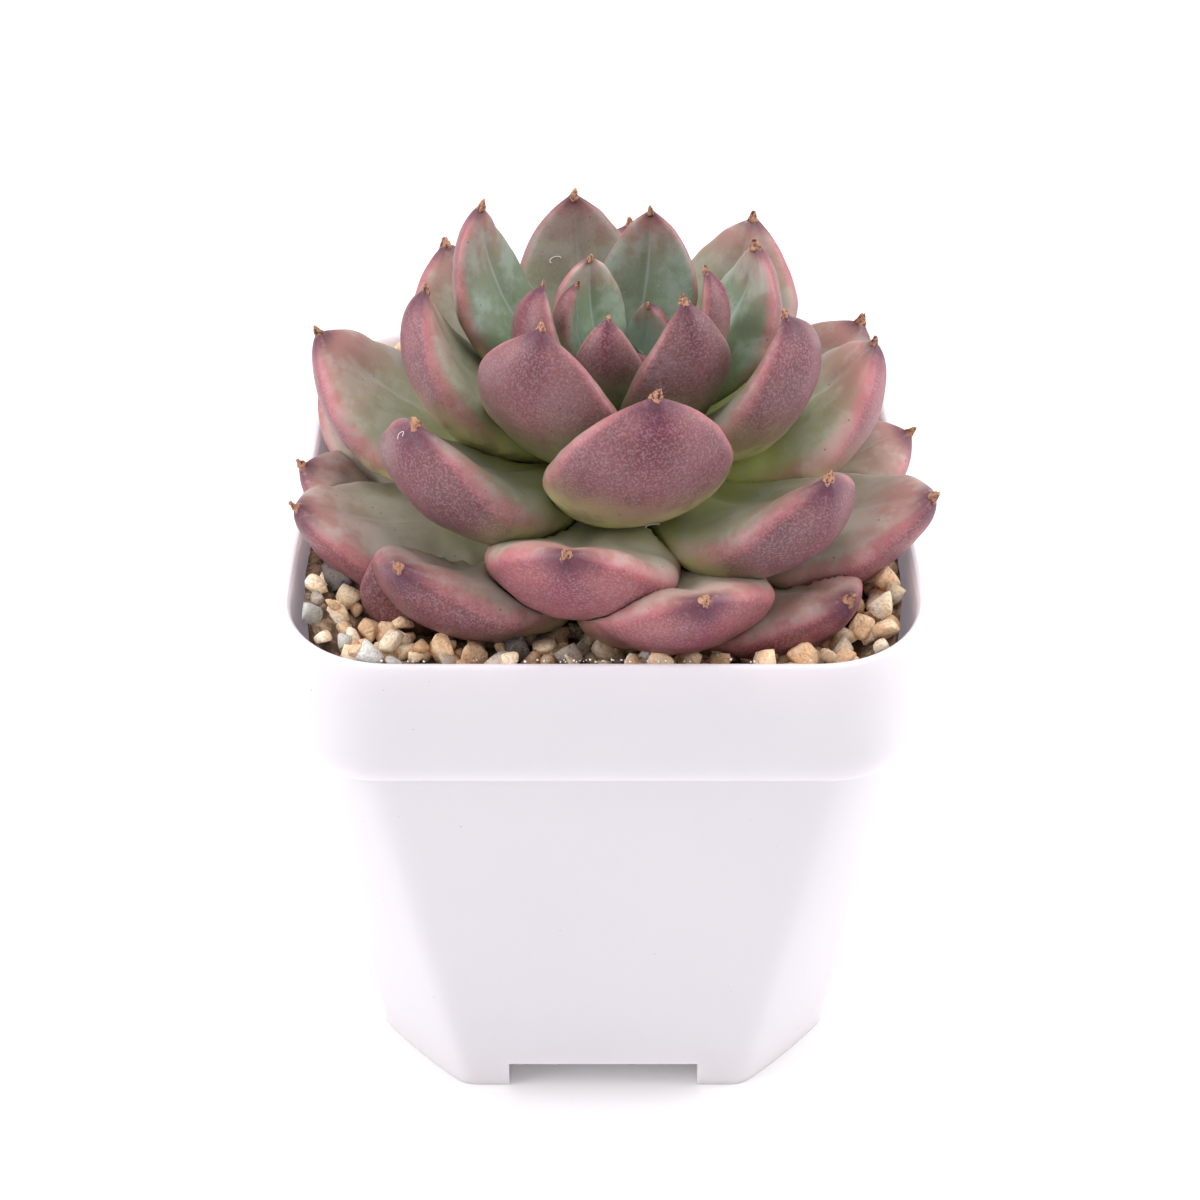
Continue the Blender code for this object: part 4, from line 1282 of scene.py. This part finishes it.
    def small_stones(self, finishes: dict[Rock, StoneFinish]) -> int:
        """Join the scattered stones of each kind into one piece and dress it."""
        forms = [self.pebble(300 + i, 13, 1) for i in range(self.forms)]
        chosen = self.scatter()
        for rock, finish in finishes.items():
            points, quads, tones, start = [], [], [], 0
            for kind, form, numbers in chosen:
                if kind is not rock:
                    continue
                shape, faces = forms[form]
                x, y, z, size = numbers[:4]
                placed = (shape * numbers[7:10] * size) @ self.turned(numbers[4:7]).T + (x, y, z)
                points.append(placed)
                quads.append(faces + start)
                tones.append(np.full(len(placed), numbers[10]))
                start += len(placed)
            piece = new_object("gravel_" + rock.value, np.concatenate(points), np.concatenate(quads).tolist())
            store(piece, "tone", np.concatenate(tones))
            piece.data.materials.append(finish.material())
            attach(piece, BODY)
        return len(chosen)

    def large_stones(self, finishes: dict[Rock, StoneFinish]) -> int:
        """Give each larger stone a broken, pitted form that fills its own box."""
        names = sorted(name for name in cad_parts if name.startswith("stone_"))
        for index, name in enumerate(names):
            rock = Rock(name.split("_")[-1])
            low, high = (np.array(corner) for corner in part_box(name))
            shape, quads = self.pebble(500 + index, 17, 3)
            rough = waves(shape, 1.1, 60 + index, 10) * 0.035 + waves(shape, 0.4, 90 + index, 10) * 0.012
            shape = shape + shape * rough[:, None]
            small, large = shape.min(axis=0), shape.max(axis=0)
            shape = low + (shape - small) / (large - small) * (high - low)
            piece = new_object("pebble_" + name[6:], shape, quads.tolist())
            store(piece, "tone", np.full(len(shape), 0.35 + 0.6 * np.random.default_rng(index).uniform()))
            piece.data.materials.append(finishes[rock].material())
            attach(piece, BODY)
            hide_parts(name)
        return len(names)


# ------------------------------------------------------------------ studio
@dataclass
class Studio:
    """A white floor, soft light from above and the sides, and the camera."""

    camera_place: tuple[float, float, float] = (-0.0004, -0.2136, 0.2154)
    pitch_down: float = 36.9
    lens: float = 66.0
    floor_half: float = 2.0
    floor_white: Colour = (0.93, 0.92, 0.925)
    room_white: Colour = (1.0, 0.985, 1.0)
    room_strength: float = 0.80

    def floor(self) -> None:
        """A wide plain floor just under the feet."""
        h = self.floor_half
        points = np.array([[-h, -h, 0], [h, -h, 0], [h, h, 0], [-h, h, 0]], dtype=float) + (0, 0, -0.00002)
        piece = new_object("floor", points, [[0, 1, 2, 3]], smooth=False)
        w = Wiring("floor_white")
        white = w.set(Base_Color=self.floor_white, Roughness=0.6, Specular_IOR_Level=0.2)
        piece.data.materials.append(white)

    @staticmethod
    def lamp(name: str, place: tuple, target: tuple, size: float, watts: float, colour: Colour) -> None:
        """A square soft light that faces a target."""
        data = bpy.data.lights.new(name, "AREA")
        data.shape, data.size, data.energy, data.color = "SQUARE", size, watts, colour
        lamp = bpy.data.objects.new(name, data)
        lamp.location = place
        lamp.rotation_euler = (Vector(target) - Vector(place)).to_track_quat("-Z", "Y").to_euler()
        bpy.context.scene.collection.objects.link(lamp)

    def build(self) -> None:
        """Set up floor, lights, surroundings and camera."""
        self.floor()
        middle = (0.0, 0.0, 0.06)
        self.lamp("over", (0.05, 0.12, 0.75), middle, 0.55, 2.6, (1.0, 0.99, 0.98))
        self.lamp("left", (-0.70, -0.15, 0.45), middle, 0.5, 3.6, (1.0, 0.985, 1.0))
        self.lamp("right", (0.75, 0.05, 0.40), middle, 0.5, 3.2, (1.0, 0.985, 1.0))
        world = bpy.data.worlds.new("white_room")
        world.use_nodes = True
        sky = world.node_tree.nodes["Background"]
        sky.inputs["Color"].default_value = (*self.room_white, 1.0)
        sky.inputs["Strength"].default_value = self.room_strength
        bpy.context.scene.world = world
        bpy.context.scene.view_settings.view_transform = "Standard"
        data = bpy.data.cameras.new("camera")
        data.lens, data.sensor_width, data.clip_start = self.lens, 36.0, 0.01
        camera = bpy.data.objects.new("camera", data)
        camera.location = self.camera_place
        camera.rotation_euler = (math.radians(90.0 - self.pitch_down), 0.0, 0.0)
        bpy.context.scene.collection.objects.link(camera)
        bpy.context.scene.camera = camera


# ------------------------------------------------------------------ all together
def dress(node: str, material: bpy.types.Material) -> None:
    """Give a carried-over CAD node a finish."""
    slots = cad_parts[node].data.materials
    slots.clear()
    slots.append(material)


def main() -> None:
    """Build the studio and every sub-assembly."""
    logging.basicConfig(level=logging.INFO, format="%(message)s")
    Studio().build()
    _, pot_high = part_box("pot")
    pot = NurseryPot(height=pot_high[2], rim_half=pot_high[0])
    log.info("pot: %d faces", len(pot.build(PotPlastic()).data.polygons))

    # The middle and outer skins' bases are lighter than their own yellow-green: painted light in the shade
    # between the leaves.
    skins = [
        LeafSkin("skin_inner", "leaf_inner", upper_middle=(0.15, 0.20, 0.125), upper_base_and_painted_light=(0.15, 0.24, 0.10),
                 under_middle=(0.23, 0.10, 0.105), under_base_and_painted_light=(0.38, 0.40, 0.17), flush=(0.40, 0.115, 0.135),
                 glaucous=(0.33, 0.41, 0.37), bloom=0.34),
        LeafSkin("skin_middle", "leaf_middle", upper_middle=(0.27, 0.28, 0.18), upper_base_and_painted_light=(0.66, 0.74, 0.20),
                 under_middle=(0.215, 0.085, 0.098), under_base_and_painted_light=(0.72, 0.74, 0.29), flush=(0.43, 0.115, 0.14),
                 glaucous=(0.42, 0.44, 0.38), bloom=0.42),
        LeafSkin("skin_outer", "leaf_outer", upper_middle=(0.37, 0.35, 0.27), upper_base_and_painted_light=(0.56, 0.60, 0.27),
                 under_middle=(0.235, 0.070, 0.078), under_base_and_painted_light=(0.52, 0.46, 0.22), flush=(0.38, 0.085, 0.10),
                 glaucous=(0.50, 0.48, 0.42), bloom=0.44),
    ]
    log.info("rosette: %d leaves", Rosette(rim_level=pot.height).build(skins))

    low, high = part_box("gravel_dressing")
    gravel = Gravel(edge_level=high[2], half=high[0], corner=pot.rim_corner - pot.wall, bottom=low[2],
                    rim_level=pot.height)
    rocks = {finish.rock: finish for finish in (
        StoneFinish(Rock.TAN, (0.84, 0.55, 0.33), (0.93, 0.70, 0.47), 0.10),
        StoneFinish(Rock.CREAM, (0.93, 0.74, 0.50), (0.97, 0.87, 0.72), 0.08),
        StoneFinish(Rock.LAVA, (0.085, 0.085, 0.095), (0.20, 0.18, 0.17), 0.30),
        StoneFinish(Rock.GREY, (0.32, 0.29, 0.27), (0.50, 0.42, 0.34), 0.16),
        StoneFinish(Rock.PALE, (0.80, 0.78, 0.73), (0.66, 0.66, 0.62), 0.10),
    )}
    gravel.bed(Earth("grit", (0.12, 0.08, 0.055), (0.46, 0.32, 0.21)))
    log.info("gravel: %d small stones, %d large", gravel.small_stones(rocks), gravel.large_stones(rocks))

    dress("potting_soil", Earth("soil", (0.03, 0.02, 0.015), (0.14, 0.09, 0.06)).material())
    dress("stem", StemSkin().material())


if __name__ == "__main__":
    main()
